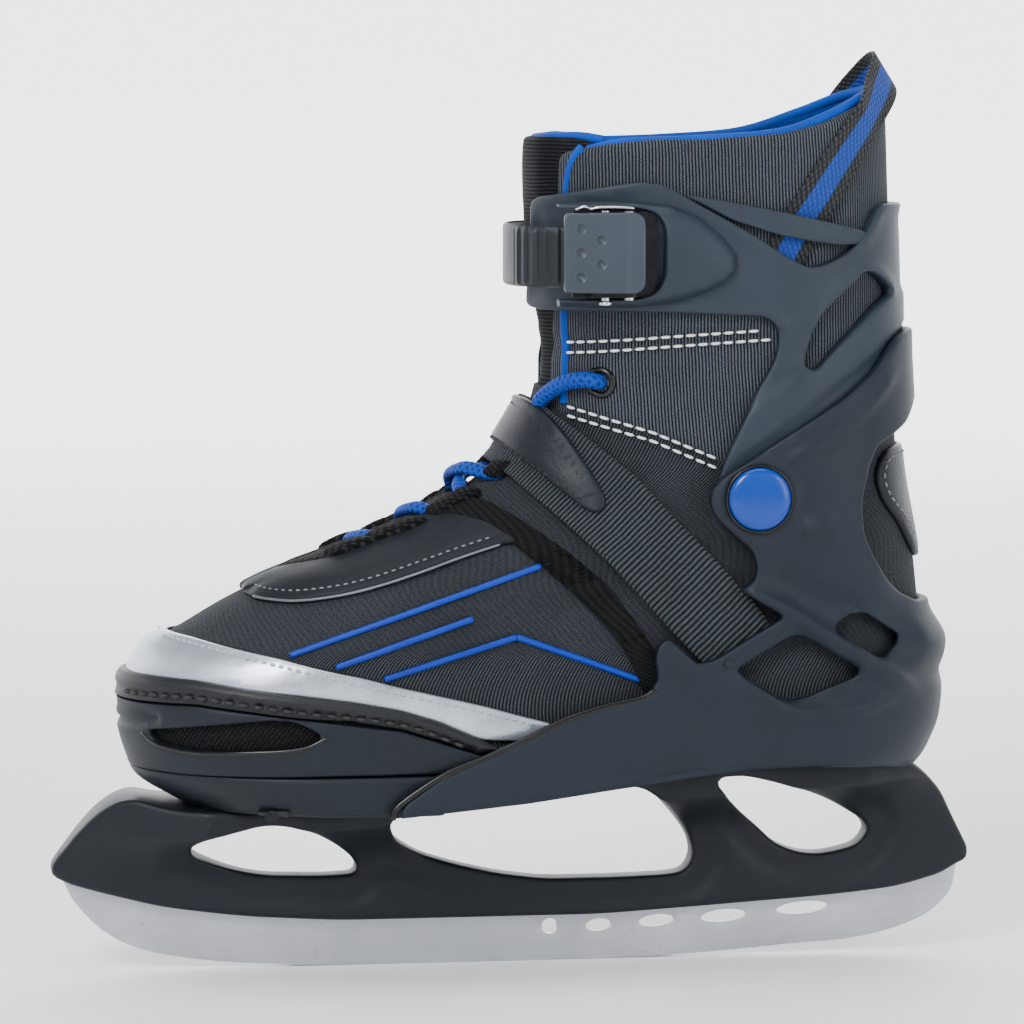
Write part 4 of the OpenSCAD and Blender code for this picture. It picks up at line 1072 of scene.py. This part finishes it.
def slab(under, over):
    # closed slab between two grids of the same size
    m, n = under.shape[:2]
    i, j = np.meshgrid(np.arange(m - 1), np.arange(n - 1), indexing="ij")
    q = np.stack([i * n + j, (i + 1) * n + j, (i + 1) * n + j + 1, i * n + j + 1], -1).reshape(-1, 4)
    rim = np.concatenate([np.arange(n - 1), np.arange(n - 1, m * n - 1, n), np.arange(m * n - 1, (m - 1) * n, -1),
                          np.arange((m - 1) * n, 0, -n)])
    nxt = np.roll(rim, -1)
    k = m * n
    quads = np.concatenate([q[:, ::-1], q + k, np.stack([rim, nxt, nxt + k, rim + k], 1)])
    verts = np.concatenate([under.reshape(-1, 3), over.reshape(-1, 3)])
    # sides must agree with the top and bottom; one signed volume tells for all
    tris = asTris(quads)
    return verts, outward(verts, tris), verts[:, :2]


def makeCaps():
    # profiles as radius and place along Y: a domed cap, and a thin black ring round it that paints the shade of the gap
    # between cap and shell
    r, gapShade, y = pivot["cap"], pivot["gapShade"], pivot["face"]
    back = y - 4
    cover = [(0, y + 1.1), (3, y + 1.05), (6, y + 0.85), (8, y + 0.55), (8.9, y + 0.25), (r, y - 0.4), (r, back),
             (0, back)]
    ring = [(r + 0.05, back), (r + 0.05, y - 0.9), (gapShade - 0.2, y - 0.8), (gapShade, y - 1.2), (gapShade, back),
            (r + 0.05, back)]
    cap, gapShade = [lathe(line, (pivot["x"], 0, pivot["z"]), sides=72) for line in (cover, ring)]
    piece("pivot_cap_pair", bothSides(cap), mats["cap"], "chassis", "cap_blue", "pivot_caps")
    # the black ring is painted shade of the dark gap round the cap
    piece("pivot_gap_shade_pair", bothSides(gapShade), mats["black"], "chassis", "shell")
    for node in ("pivot_rivets", "pivot_washers", "holder_screws"):
        wear(node, mats["screw"])
    wear("strap_rivets", mats["shell"])
    wear("holder_nuts", mats["darkMetal"])


cuff = dict(
    off=0.4, thick=3.0,
    outline=[(6.5, 246), (22, 249), (34, 251), (42, 250), (53, 244), (66, 237), (73, 233), (82, 227), (88, 224),
             (94, 225), (101, 228.5), (106, 233), (110, 239), (112.5, 243.5), (165, 244), (165, 192), (123, 190),
             (104, 176), (90, 162), (86, 150), (80, 142), (72, 139.5), (64.5, 142), (60.5, 148), (60, 157), (63, 166),
             (67, 174), (72, 185), (77.5, 194), (79.3, 201), (78.5, 206), (74.5, 209), (66, 209.3), (53, 210),
             (28, 211), (6.5, 211)],
    window=[(106, 222.5), (109, 222.5), (113, 220), (117.5, 215.5), (112, 212), (104, 205), (96, 197.5),
            (90.5, 191.5), (87.5, 192.5), (87, 195), (89, 202), (92, 209.5), (99, 216)],
    lower=[(58, 157), (66, 163.5), (79, 172.5), (92, 182.5), (104, 191.5), (113, 198), (122, 204), (140, 212)],
    strip=[(48, 247), (60, 245.3), (78, 242), (95, 238.3), (108.5, 235), (108.5, 231), (98, 231), (86, 233),
           (78, 234.7), (64, 239)],
    boss=[(7, 244), (20, 245), (33, 245.2), (44, 244), (54, 240), (61, 234.5), (65.5, 229), (65.8, 223.5), (62, 219),
          (55, 215.8), (46, 213.3), (33, 211.8), (20, 211.8), (7, 212.5)],
    recess=[(7.5, 243), (34.5, 243), (40, 241), (42, 236.5), (42, 221.5), (39.5, 216.5), (34, 214.6), (7.5, 214.6)],
    bossY=46.2,
)


def makeCuff():
    lower = cuff["lower"]

    def relief(x, z, dist):
        d, s = nearLine(x, z, lower)
        above = z > np.interp(x, *np.array(lower).T) + 0.3
        band = (1 - ease(9.5, 12.5, d)) * above * ease(0.02, 0.12, s)
        rise = 1.1 * band * ease(0.3, 1.4, d)
        rim = 0.8 * (1 - ease(1.0, 4.5, dist))
        return rise + rim * (z > 205) * (1 - band)
    plate = wrapPlate(cuff["outline"], cuff["off"], cuff["thick"], 0.9, "back", 2.5, 2.0, [cuff["window"]], relief,
                      None, 2.5)
    v = plate[0]  # the inner side's front end stops short of the outer side's
    v[:, 0] += 7.0 * ease(3, 12, v[:, 1]) * ease(26, 6, v[:, 0]) * ease(206, 212, v[:, 2])
    strip = skinPlate(cuff["strip"], -1, 1.9, 1.5, 0.5, 2.0, 2.0, anchor="back")
    # the boss is a horseshoe round the buckle, open at the front
    outer = evenLoop(roundLoop(cuff["boss"], [2, 6, 6, 6, 6, 6, 5, 5, 6, 6, 6, 6, 6, 2]), 1.0)
    inner = evenLoop(roundLoop(cuff["recess"], [0.5, 5, 6, 6, 6, 6, 5, 0.5]), 0.9)
    around, hollow = [stretch(line, line[:, 0] >= 8.2) for line in (outer, inner)]
    around = around if around[0, 1] > around[-1, 1] else around[::-1]
    horseshoe = evenLoop(np.concatenate([around, hollow[::-1]]), 0.9)

    def top(flat, dist):
        far = distanceTo(flat, [np.array(cuff["boss"], float)])
        low = 39.0 - 2.0 * ease(30, 64, flat[:, 0])
        bulge = dome(np.minimum(far, 13.0), 13.0)
        y = low + (cuff["bossY"] - low) * (0.35 + 0.65 * bulge) * ease(-1.0, 1.5, far) - 0.6 * (1 - dome(dist, 0.8))
        return np.stack([flat[:, 0], -y, flat[:, 1]], 1)

    def bottom(flat, dist):
        return np.stack([flat[:, 0], np.full(len(flat), -36.6), flat[:, 1]], 1)
    boss = shellPlate([horseshoe], 1.7, [0.25, 0.8], top, bottom)
    piece("cuff_body", join(plate, bothSides(strip), boss), mats["cuff"], "cuff", "cuff_plastic", "cuff")


buckle = dict(
    plate=[(9.0, 241.6), (34.4, 241.8), (34.4, 216.6), (9.0, 217.0)],
    y0=50.7, thick=2.6, bend=29.0,
    dimples=[(14, 237), (14, 229.5), (14, 222), (20.3, 233.4), (20.3, 225.8)],
)
ladder = dict(
    path=[(27, -43.4), (12, -43.4), (6, -42.2), (1, -38.5), (-2.2, -32), (-3.6, -22), (-3.2, -10), (-1.2, 5),
          (2, 18.5), (7.6, 29.5), (16.5, 37.4), (29.5, 42), (52, 42.6)],
    low=218.5, high=237.5, pitch=3.6, tooth=1.0, toothRun=26.0,
)


def makeBuckle():
    outline = evenLoop(roundLoop(buckle["plate"], [1.6, 4.5, 4.5, 1.6]), 0.8)

    def top(flat, dist):
        x, z = flat.T
        rise = buckle["thick"] - 0.7 + 0.7 * dome(dist, 0.8)
        bend = buckle["bend"]
        rise = rise - 0.25 * ease(bend - 0.6, bend + 0.6, x) - 0.012 * np.clip(bend - x, 0, 99)
        for dx, dz in buckle["dimples"]:
            r = np.hypot(x - dx, z - dz)
            rise = rise - 1.1 * (1 - ease(0.7, 1.6, r)) + 0.1 * np.exp(-(((r - 1.9) / 0.4) ** 2))
        return np.stack([x, -(buckle["y0"] + rise), z], 1)

    def bottom(flat, dist):
        return np.stack([flat[:, 0], np.full(len(flat), -buckle["y0"]), flat[:, 1]], 1)
    parts = [shellPlate([outline], 0.7, [0.25, 0.8], top, bottom)]
    for z in (217.1, 238.9):  # hinge ears of the lever
        ear = evenLoop(roundLoop([(27.2, -51), (27.2, -46), (29, -44.7), (31, -44.7), (32.8, -46), (32.8, -51)], 1.5),
                       0.8)
        low = np.stack([ear[:, 0], ear[:, 1], np.full(len(ear), z)], 1)
        parts.append(loft(np.array([low, low + [0, 0, 1.2]])))
    piece("buckle_lever_plate", join(*parts), mats["lever"], "lever", "lever_plastic", "buckle_lever")
    # bright wire spring that shows along the lever's top edge
    path = smoothPath([(13, -49.6, 242.6), (15.5, -50.3, 243.6), (17.5, -49.4, 242.8), (20, -50.2, 243.3),
                       (26, -50.2, 243.3),
                       (31, -49.6, 243.0)], 0.6)
    across, up = frameAlong(path, np.array([0, -1.0, 0]))
    wire = sweep(path, across, up, circle(0.45, 8))
    head = lathe([(0, 212.9), (1.9, 213.0), (2.1, 213.6), (1.9, 214.4), (0, 214.5)], (22.5, -48, 0), "z", 24)
    piece("buckle_wire", join(wire, head), mats["chrome"], "cuff", "pin_chrome")
    wear("buckle_base", mats["darkMetal"])
    for node in ("lever_pin", "pawl_pin", "pawl_spring", "base_rivets", "ladder_rivet"):
        wear(node, mats["darkMetal" if node == "base_rivets" else "chrome"])
    wear("buckle_pawl", mats["darkMetal"])


def makeLadder():
    path = smoothPath(ladder["path"], 0.45)
    t = unit(np.gradient(path, axis=0))
    normal = np.stack([t[:, 1], -t[:, 0]], 1)
    normal = -normal if normal[0, 1] > 0 else normal
    # teeth: a saw that falls from tooth to 0 over each pitch, and fades out behind the toothed run
    s, run = lengthAlong(path), ladder["toothRun"]
    phase = (s / ladder["pitch"]) % 1.0
    saw = ladder["tooth"] * (1 - phase) * ease(0, 0.08, phase) * (1 - ease(run + 8, run + 12, s))
    z = np.linspace(ladder["low"], ladder["high"], 25)
    toEdge = np.minimum(z - ladder["low"], ladder["high"] - z)
    body = np.ones_like(s)[:, None] * (0.4 + 0.6 * dome(toEdge, 1.0))[None]  # half the thickness in mm
    teeth = saw[:, None] * ease(0, 2.2, toEdge)[None]  # their ends slope back towards the strap's edges
    inner, outer = [np.concatenate([path[:, None] + normal[:, None] * out[..., None],
                                    np.repeat(z[None, :, None], len(path), 0)], -1) for out in (-body, body + teeth)]
    piece("ladder_strap_ribbed", slab(inner, outer), mats["ladder"], "cuff", "ladder_plastic", "ladder_strap")


# soft goods


def softPiece(name, mesh, mat, how, slot, *nodes):
    # how: the body it rides on; slide and flex leave it on no body, with its transform baked into the mesh
    obj = piece(name, mesh, mats[mat], None if how in ("slide", "flex") else how, slot, *nodes)
    if how == "slide":
        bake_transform(obj)
    if how == "flex":
        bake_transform(obj)
    return obj


def ridgeZ(x):  # height of the instep's mid line at a place along X
    z, f = np.array([p for p in form["front"] if p[0] < 180], float).T
    return np.interp(x, f, z)


def skinRow(points, side, off, step=1.0, anchor="front", smooth=False):
    # even path on the boot through side-view points, with its outward normals
    path = smoothPath(points, 0.8) if smooth else evenLoop(points, 0.8, False)
    flat = toFlat(path, side, 0, anchor)
    both = evenLoop(np.concatenate([onSkin(flat, off, anchor), skinNormals(flat, anchor)], 1), step, False)
    return both[:, :3], unit(both[:, 3:])


def bothSides(mesh):
    return join(mesh, mirrored(mesh))


def stitchesOn(points, off, smooth=True, **thread):
    p, n = skinRow(points, -1, off, 0.6, smooth=smooth)
    return bothSides(stitchRow(p, n, **thread))


def tubeOn(points, off, radius, smooth=False, flatten=0.75, anchor="front"):
    p, n = skinRow(points, -1, off, 1.0, anchor, smooth)
    across, up = frameAlong(p, n)
    return bothSides(sweep(p, across, up, circle(radius, 10, radius * flatten)))


# foot of the boot: cloth from the shell up to the ankle seam
foot = dict(off=-0.5, thick=3.0, low=70.8, columns=330, rows=76,
            top=[(0, 186), (0.1, 186), (0.2, 184), (0.32, 177), (0.45, 169), (0.6, 163), (0.8, 170), (1, 178)])


def makeFoot():
    # closed cloth tube: outer face up, inner face down; turn u runs from heel to heel, 0 at the toe
    u = np.linspace(-1, 1, foot["columns"], endpoint=False)
    t = np.linspace(0, 1, foot["rows"])
    top = np.interp(np.abs(u), *np.array(foot["top"]).T)
    z = foot["low"] + (top[None] - foot["low"]) * t[:, None]
    flat = np.stack([(u[None] * np.interp(z, skinZ, skinArc[:, -1])).ravel(), z.ravel()], 1)
    x = onSkin(flat, 0)[:, 0]
    # slack waves in front of the strap: sin(x / 11 + z / 17)
    wave = 0.35 * np.sin(x / 11 + z.ravel() / 17) * ease(-70, -20, x) * ease(70, 20, x)
    outer = onSkin(flat, foot["off"] + wave).reshape(*z.shape, 3)
    inner = onSkin(flat, foot["off"] - foot["thick"]).reshape(*z.shape, 3)
    verts = np.concatenate([outer, inner[::-1]]).reshape(-1, 3)
    tris = outward(verts, gridTris(2 * foot["rows"], foot["columns"], True))
    uv = np.concatenate([flat, flat.reshape(*z.shape, 2)[::-1].reshape(-1, 2)])
    obj = softPiece("foot_cloth", (verts, tris, uv), "foot", "slide", "boot_fabric", "boot_foot", "boot_toe")


# ankle part: quarter, lining, tongue and their blue edges
ankle = dict(
    off=-3.4, thick=3.3,
    outline=[(14, 258), (15, 260), (18, 261), (29, 263), (41, 264), (54, 264), (67, 265), (80, 266), (92, 269),
             (99, 272), (112, 277.5), (121, 280.3), (165, 280.5), (165, 176), (100, 166), (72, 156), (61, 159.5),
             (45, 166.5), (30, 171.5), (13, 177.5)],
    lining=[(15, 257), (18, 260.3), (29, 262.3), (54, 263.3), (79, 265.5), (99, 271.5), (112, 277), (121, 279.8),
            (165, 280), (165, 234), (15, 234)],
    front=[(17.5, 261.5), (15, 257.5), (13.6, 251), (13.2, 240), (13.2, 225), (13.4, 209), (14, 195), (13.5, 181)],
    seams=[[(10, 199), (75, 202.5)], [(10, 180), (65, 160.5)]],
    tongue=[(-20, 265), (9, 265.2), (20, 265), (27, 262), (27, 184), (-20, 180)],
    rows=[[(14.5, 200.5), (40, 202.3), (76, 204.5)], [(14.5, 197.2), (40, 199.2), (78, 201.6)],
          [(14.5, 180.3), (40, 172.5), (63, 162.8)], [(14.5, 177.4), (40, 169.8), (62, 160.2)]],
)


def makeAnkle():
    def relief(x, z, dist):
        puff = 0.9 * dome(dist, 16.0)
        seam = sum(crease(x, z, line, 3.0, -0.9, 0.02) for line in ankle["seams"])
        wave = 0.35 * np.sin(x / 13 - z / 21) * ease(200, 215, z)
        bed = 1.4 * ease(9, 6, np.abs(nearLine(x, z, pullLoop["spots"])[0])) * ease(247, 240, z)
        return puff * 0.5 + seam + wave - bed
    plate = wrapPlate(ankle["outline"], ankle["off"], ankle["thick"], 1.6, "back", 2.5, 2.2, (), relief)
    obj = softPiece("ankle_cloth", plate, "quarter", "flex", "quarter_fabric", "boot_shaft")
    plate = wrapPlate(ankle["lining"], -5.0, 1.5, 0.7, "back", 2.0, 3.0)
    softPiece("blue_lining", plate, "lining", "cuff", "lining_blue", "collar_lining")
    edge = tubeOn(ankle["front"], -0.6, 1.7, True, 0.9)
    softPiece("quarter_edge", edge, "binding", "flex", "lining_blue")
    # blue roll that finishes the collar's rim
    rim = smoothPath([(18, 260.6), (29, 262.6), (54, 263.6), (80, 265.8), (99, 271.8), (112, 277.2), (119, 279.6)], 1.0)
    flat = toFlat(rim, -1, 0, "back")
    total = evenLoop(spread(flat), 1.0, False)
    p = onSkin(total, -3.4, "back")
    across, up = frameAlong(p, np.array([0, 0, 1.0]))
    softPiece("collar_roll", sweep(p, across, up, circle(1.8, 12)), "binding", "cuff", "lining_blue")

    def tongueRelief(x, z, dist):
        return 3.2 * (1 - ease(12.2, 15.5, x)) + 0.5 * dome(dist, 9)
    plate = wrapPlate(ankle["tongue"], -7.2, 3.3, 1.5, "front", 4.0, 2.2, (), tongueRelief)
    obj = softPiece("tongue_pad", plate, "tongue", "flex", "tongue_fabric", "tongue")
    rim = smoothPath([(4.2, 264.4), (9, 265.2), (15, 265), (22, 263.8)], 0.8)
    flat = toFlat(rim, -1, 0, "front")
    total = evenLoop(np.concatenate([flat[::-1], flat * np.array([-1, 1])]), 1.0, False)
    p = onSkin(total, -4.2 - 2.6 * ease(8, 20, np.abs(total[:, 0])))
    across, up = frameAlong(p, np.array([0, 0, 1.0]))
    softPiece("tongue_roll", sweep(p, across, up, circle(1.7, 12)), "binding", "cuff", "lining_blue")
    rows = [stitchesOn(row, 0.75, False, length=3.2, gap=0.8, radius=0.45) for row in ankle["rows"]]
    softPiece("quarter_stitches", join(*rows), "whiteThread", "flex", "quarter_fabric")


# trims of the toe and vamp
trims = dict(
    band=[(-145, 106.6), (-122, 107.2), (-116, 109.3), (-103, 107.8), (-91, 105.4), (-78, 103.2), (-66, 100.3),
          (-53, 97.6), (-41, 94.3), (-28, 91.2), (-15, 88), (-3, 84.5), (8, 81.5), (-2, 76.5), (-16, 77.3),
          (-29, 83.2), (-41, 87), (-57, 90), (-72, 92), (-88, 93.6), (-103, 95.6), (-116, 95.9), (-145, 95.5)],
    bandStitch=[(-112, 106.9), (-103, 105.7), (-91, 103.4), (-66, 98.4), (-41, 92.4), (-15, 86.2), (2, 81.6)],
    welt=[(-145, 96), (-116, 96.2), (-103, 95.9), (-88, 93.9), (-72, 92.2), (-57, 90.2), (-41, 87.2), (-29, 83.4),
          (-16, 77.5), (-8, 74), (-16, 72.8), (-29, 77.5), (-41, 81.5), (-57, 84.2), (-72, 85.3), (-88, 87.3),
          (-103, 88.8), (-122, 88.4), (-145, 88.2)],
    weltMid=[(-145, 91), (-122, 91), (-103, 91.1), (-88, 89.6), (-72, 87.6), (-41, 83.3), (-18, 74.6)],
    ventMesh=[(-120, 79), (-104, 85), (-82, 86.6), (-72, 85), (-62, 80), (-70, 74), (-88, 73), (-103, 72.5),
              (-118, 74.5)],
    overlay=[(-90, 124.5), (-88, 122), (-84, 120), (-80, 119.6), (-71, 119.6), (-58, 121.6), (-46, 124.6),
             (-33, 128.6), (-21, 132.8), (-8, 137), (-1, 138), (0, 141), (-12, 147), (-26, 149), (-39, 144.5),
             (-57, 133.5), (-74, 129), (-86, 126.5)],
    overlayStitch=[(-83, 122.6), (-79, 121.9), (-71, 122), (-58, 124), (-46, 127), (-33, 131.2), (-21, 135.3),
                   (-9, 139.2)],
    binding=[(-88, 126), (-78, 130.5), (-61, 136), (-39, 147.5), (-26, 152), (-10, 150), (1, 143.5), (13, 135),
             (26, 124), (38, 107.5), (43, 96), (41.5, 90), (36, 91), (33.5, 99), (28, 108), (18, 119), (6, 129.5),
             (-3, 137), (-12, 143), (-22, 144.6), (-32, 143), (-45, 137), (-57, 131), (-70, 128), (-80, 125.6)],
    pipes=[[(-75, 104.5), (-35, 118), (4, 131)], [(-61, 101), (-40, 108), (-18, 115.2)],
           [(-46, 97), (-25, 103.2), (-4, 109.3)],
           [(-4, 109.3), (16, 102), (36, 94.4)]],
    strap=[(-25, 161.5), (-9, 162), (9, 146.4), (28, 129), (47, 108.4), (54, 101), (60, 95.5), (78, 111), (73, 118),
           (59, 133), (46, 146), (34, 159), (21, 170), (9, 179.2), (2, 184), (-25, 186)],
    patch=[(-25, 183.5), (0, 183.2), (6, 179.5), (13, 171), (19, 161.5), (24.3, 151.5), (24, 148), (20.5, 146.4),
           (16, 149), (8, 155.2), (-2, 163.6), (-8, 169), (-25, 170)],
    patchStitch=[(-3, 167), (8, 158), (16, 152), (21, 149.6), (21.4, 152), (17, 160), (11.5, 169.3), (4.5, 177.8),
                 (-1, 180.6)],
    heel=[(165, 167.3), (121, 166.5), (116, 165), (113, 161), (112.2, 156), (115, 149), (121, 142), (127, 132),
          (131, 129), (165, 129)],
    heelStitch=[(126, 164), (118, 163), (115.4, 160), (114.8, 156), (117.4, 150), (123.2, 143.4), (128, 136)],
)


def makeTrims():
    plate = wrapPlate(trims["band"], 0.0, 1.5, 0.7, "front", 2.0, 2.0,
                      relief=lambda x, z, d: groove(x, z, trims["bandStitch"], 0.7, 0.35) + 0.25 * dome(d, 5))
    softPiece("silver_toe_band", plate, "silver", "slide", "silver_band", "toe_band")
    # the dark tube in the band's stitch groove is painted shade in the groove
    softPiece("silver_band_groove_shade", tubeOn(trims["bandStitch"], 1.0, 0.4, True, 1.0), "darkThread", "slide",
              "silver_band")
    softPiece("silver_band_stitches", stitchesOn(trims["bandStitch"], 1.35, length=1.9, gap=0.9, radius=0.5),
              "paleThread", "slide", "silver_band")

    plate = wrapPlate(trims["welt"], 0.1, 3.9, 1.9, "front", 1.2, 1.2,
                      relief=lambda x, z, d: groove(x, z, trims["weltMid"], 0.9, 1.6))
    softPiece("toe_welt_rubber", plate, "welt", "slide", "welt_rubber", "toe_welt")
    softPiece("toe_welt_stitches", stitchesOn([(x, z - 0.4) for x, z in trims["weltMid"][1:]], 2.9, length=3.6, gap=1.0,
                                              radius=0.7),
              "darkThread", "slide", "welt_rubber")
    half = skinPlate(trims["overlay"], -1, -0.2, 1.7, 0.9, 3.0, 2.0,
                     relief=lambda x, z, d: 0.5 * dome(d, 7) + groove(x, z, trims["overlayStitch"], 0.9, 0.5))
    softPiece("vamp_overlay_pair", bothSides(half), "trim", "slide", "leather_trim", "vamp_overlay")
    softPiece("vamp_overlay_stitches", stitchesOn(trims["overlayStitch"], 1.4, length=1.7, gap=0.9, radius=0.3),
              "greyThread", "slide",
              "leather_trim")
    # the grey tube along the overlay's lower edge: a raised edge whose lighter colour is painted highlight
    softPiece("vamp_overlay_edge_highlight", tubeOn(trims["overlay"][2:10], 1.0, 0.5, True), "edge", "slide", "leather_trim")
    half = skinPlate(trims["binding"], -1, 0.0, 2.3, 1.4, 3.0, 2.0)
    softPiece("throat_binding_pair", bothSides(half), "mesh", "slide", "binding_mesh", "eyestay_binding",
              "binding_rear")
    pipes = join(*[tubeOn(line, 0.2, 1.0, False, 0.85) for line in trims["pipes"]])
    softPiece("blue_piping_lines", pipes, "piping", "slide", "piping_blue", "piping_front", "piping_rear")

    mesh = bothSides(skinPlate(trims["ventMesh"], -1, -0.4, 0.9, 0.3, 2.0, 2.0))
    softPiece("toe_vent_mesh", mesh, "mesh", "toe", "boot_fabric")

    # instep strap: ribs run across its length, so its map is turned with it
    v, f, _ = wrapPlate(trims["strap"], 0.9, 2.2, 0.6, "front", 1.5, 1.2, (),
                           lambda x, z, d: -0.3 * np.exp(-(((d - 3.4) / 0.5) ** 2)))
    uv = np.stack([(v[:, 0] - v[:, 2]) * 0.7071 + 0.8 * np.abs(v[:, 1]), (v[:, 0] + v[:, 2]) * 0.7071], 1)
    softPiece("instep_strap_webbing", (v, f, uv), "webbing", "chassis", "webbing", "instep_strap")
    plate = wrapPlate(trims["patch"], 3.0, 1.6, 0.8, "front", 2.5, 1.8,
                      relief=lambda x, z, d: 0.4 * dome(d, 6) + groove(x, z, trims["patchStitch"], 0.8, 0.4))
    softPiece("strap_patch_leather", plate, "patch", "chassis", "leather_trim", "strap_patch")
    softPiece("strap_patch_stitches", stitchesOn(trims["patchStitch"], 4.4, length=1.8, gap=0.9, radius=0.3),
              "darkThread", "chassis",
              "leather_trim")
    plate = wrapPlate(trims["heel"], -0.3, 1.5, 0.8, "back", 2.0, 2.0, relief=lambda x, z, d: 0.6 * dome(d, 6))
    softPiece("heel_patch_leather", plate, "patch", "chassis", "leather_trim", "heel_patch")
    p, n = skinRow(trims["heelStitch"], -1, 1.6, 0.6, "back", True)
    softPiece("heel_patch_stitches", bothSides(stitchRow(p, n, length=2.0, gap=1.0, radius=0.32)), "greyThread",
              "chassis", "leather_trim")


# laces, keepers, eyelets
lacing = dict(crossings=[-50.0, -33.0, -15.5], lift=[-1.4, 0.0, 2.2], halfWidth=13.5, radius=2.55, eyelet=(24.0, 188.0),
              tail=[(0, 0, -1.5), (0.8, 0.6, 1.8), (3.2, 1.2, 3.4), (8, -0.2, 3.6), (12.5, -4, 3.2), (15.5, -8, 2.2),
                    (16.5, -12, -2)])


def makeLaces():
    strands, tabs = [], []
    for k, x in enumerate(lacing["crossings"]):
        wide = lacing["halfWidth"] - 1.2 * (2 - k)
        for side, over in ((1, 0.0), (-1, 3.1)):
            s = np.linspace(-1, 1, 41)
            a = s * wide * side
            z = ridgeZ(x + 6.5 * s * 0.9)
            lift = lacing["lift"][k]
            off = lift - (lift + 1.5) * np.abs(s) ** 2.6 + over * (1 - ease(0.25, 0.8, np.abs(s))) + 0.5
            flat = np.stack([a, z], 1)
            p = onSkin(flat, off)
            n = onSkin(flat, off + 1) - p
            across, up = frameAlong(p, n)
            strands.append(sweep(p, across, up, circle(lacing["radius"], 14, 1.75)))
        for dx in (-6.0, 6.0):
            zc = float(ridgeZ(x + dx))
            c = wide - 0.5
            tab = roundLoop([(-c - 4, zc - 2.6), (-c + 3.6, zc - 2.6), (-c + 3.6, zc + 2.6), (-c - 4, zc + 2.6)], 1.2)
            tab = shellPlate([evenLoop(tab, 0.9)], 1.3, [0.3, 0.9], lambda f, d: onSkin(f, 2.0 + 2.4 * dome(d, 2.4)),
                             lambda f, d: onSkin(f, 1.2))
            tabs.append(bothSides(tab))
    softPiece("vamp_laces", join(*strands), "lace", "slide", "lace_blue", "lace_vamp")
    softPiece("lace_keeper_tabs", join(*tabs), "mesh", "slide", "binding_mesh", "lace_keepers")
    ex, ez = lacing["eyelet"]
    strands = []
    for side, reach in ((-1, 1.0), (1, 0.45)):  # the inner side's lace turns in under the tongue sooner
        path = smoothPath([(ex - dx * reach, ez + dz, off) for dx, dz, off in lacing["tail"]], 0.8)
        flat = toFlat(path[:, :2], side)
        p = onSkin(flat, path[:, 2])
        across, up = frameAlong(p, onSkin(flat, path[:, 2] + 1) - p)
        strands.append(sweep(p, across, up, circle(lacing["radius"], 14)))
    softPiece("ankle_laces", join(*strands), "lace", "flex", "lace_blue", "lace_ankle")
    # eyelet: a rolled ring that sits on the cloth, turned about its own normal
    centre = toFlat([(ex, ez)], -1)
    c, n = onSkin(centre, 0)[0], unit(skinNormals(centre)[0])
    t1 = unit(np.cross([0, 0, 1.0], n))
    t2 = np.cross(n, t1)
    turn = np.linspace(0, 2 * np.pi, 48, endpoint=False)[:, None, None]
    rim = np.array([(3.0, -1.5), (2.9, 0.4), (3.2, 1.0), (3.9, 1.25), (4.7, 0.95), (5.2, 0.2), (5.0, -1.5)])
    rings = c + rim[None, :, :1] * (np.cos(turn) * t1 + np.sin(turn) * t2) + rim[None, :, 1:] * n
    verts = rings.reshape(-1, 3)
    ring = (verts, outward(verts, gridTris(len(turn), len(rim), True)), np.zeros((len(verts), 2)))
    softPiece("eyelet_pair", bothSides(ring), "black", "flex", "eyelet_black", "eyelets")


# pull loop
pullLoop = dict(spots=[(80.5, 226), (84, 233), (89, 242), (94.5, 250.5), (100.5, 259), (106.5, 267), (111.5, 274)],
                off=1.15, width=13.0, thick=1.2)


def makePullLoop():
    path = smoothPath(pullLoop["spots"], 1.5)
    flat = toFlat(path, -1, 0, "back")
    sunk = pullLoop["off"] - 1.4 * ease(246, 239, path[:, 1])
    p, n = onSkin(flat, sunk, "back"), skinNormals(flat, "back")
    over = np.array([(116.5, -14, 280.5), (119.5, -5, 285.6), (119.5, 5, 285.6), (116.5, 14, 280.5)])
    overNormal = np.array([(0.75, -0.5, 0.6), (0.85, -0.1, 0.55), (0.85, 0.1, 0.55), (0.75, 0.5, 0.6)])
    flip = np.array([1, -1, 1, 1, -1, 1])
    end = np.concatenate([p[::3], n[::3]], 1)
    keys = np.concatenate([end, np.concatenate([over, overNormal], 1), end[::-1] * flip])
    keys = smoothPath(keys, 1.2)
    across, up = frameAlong(keys[:, :3], keys[:, 3:])
    w, h = pullLoop["width"] / 2, pullLoop["thick"] / 2
    s = np.linspace(-w, w, 15)
    upper, lower = [np.stack([s, np.full(15, t)], 1) for t in (h, -h)]
    profile = np.concatenate([upper, [[w + 0.25, 0]], lower[::-1], [[-w - 0.25, 0]]])
    v, f, uv = sweep(keys[:, :3], across, up, profile)
    uv[:, 1] = np.concatenate([np.tile(profile[:, 0] + w, len(keys)), [w, w]])  # across the band, for its stripe
    softPiece("pull_loop_webbing", (v, f, uv), "loop", "cuff", "loop_webbing", "pull_loop")


def makeInsoles():
    wear("footbed", mats["bedFoam"])
    wear("lasting_board", mats["board"])


makeCamera()
makeLights()
makeFloor()
print("stage ready")
makeBlade()
makeHolder()
makeTray()
makeToeShell()
makeSpring()
print("blade, holder and toe shell ready")
makeHeelShell()
makeCaps()
makeCuff()
makeBuckle()
makeLadder()
print("shell, cuff and buckle ready")
makeFoot()
makeAnkle()
makeTrims()
print("boot cloth and trims ready")
makeLaces()
makePullLoop()
makeInsoles()
print("laces, loop and insoles ready")
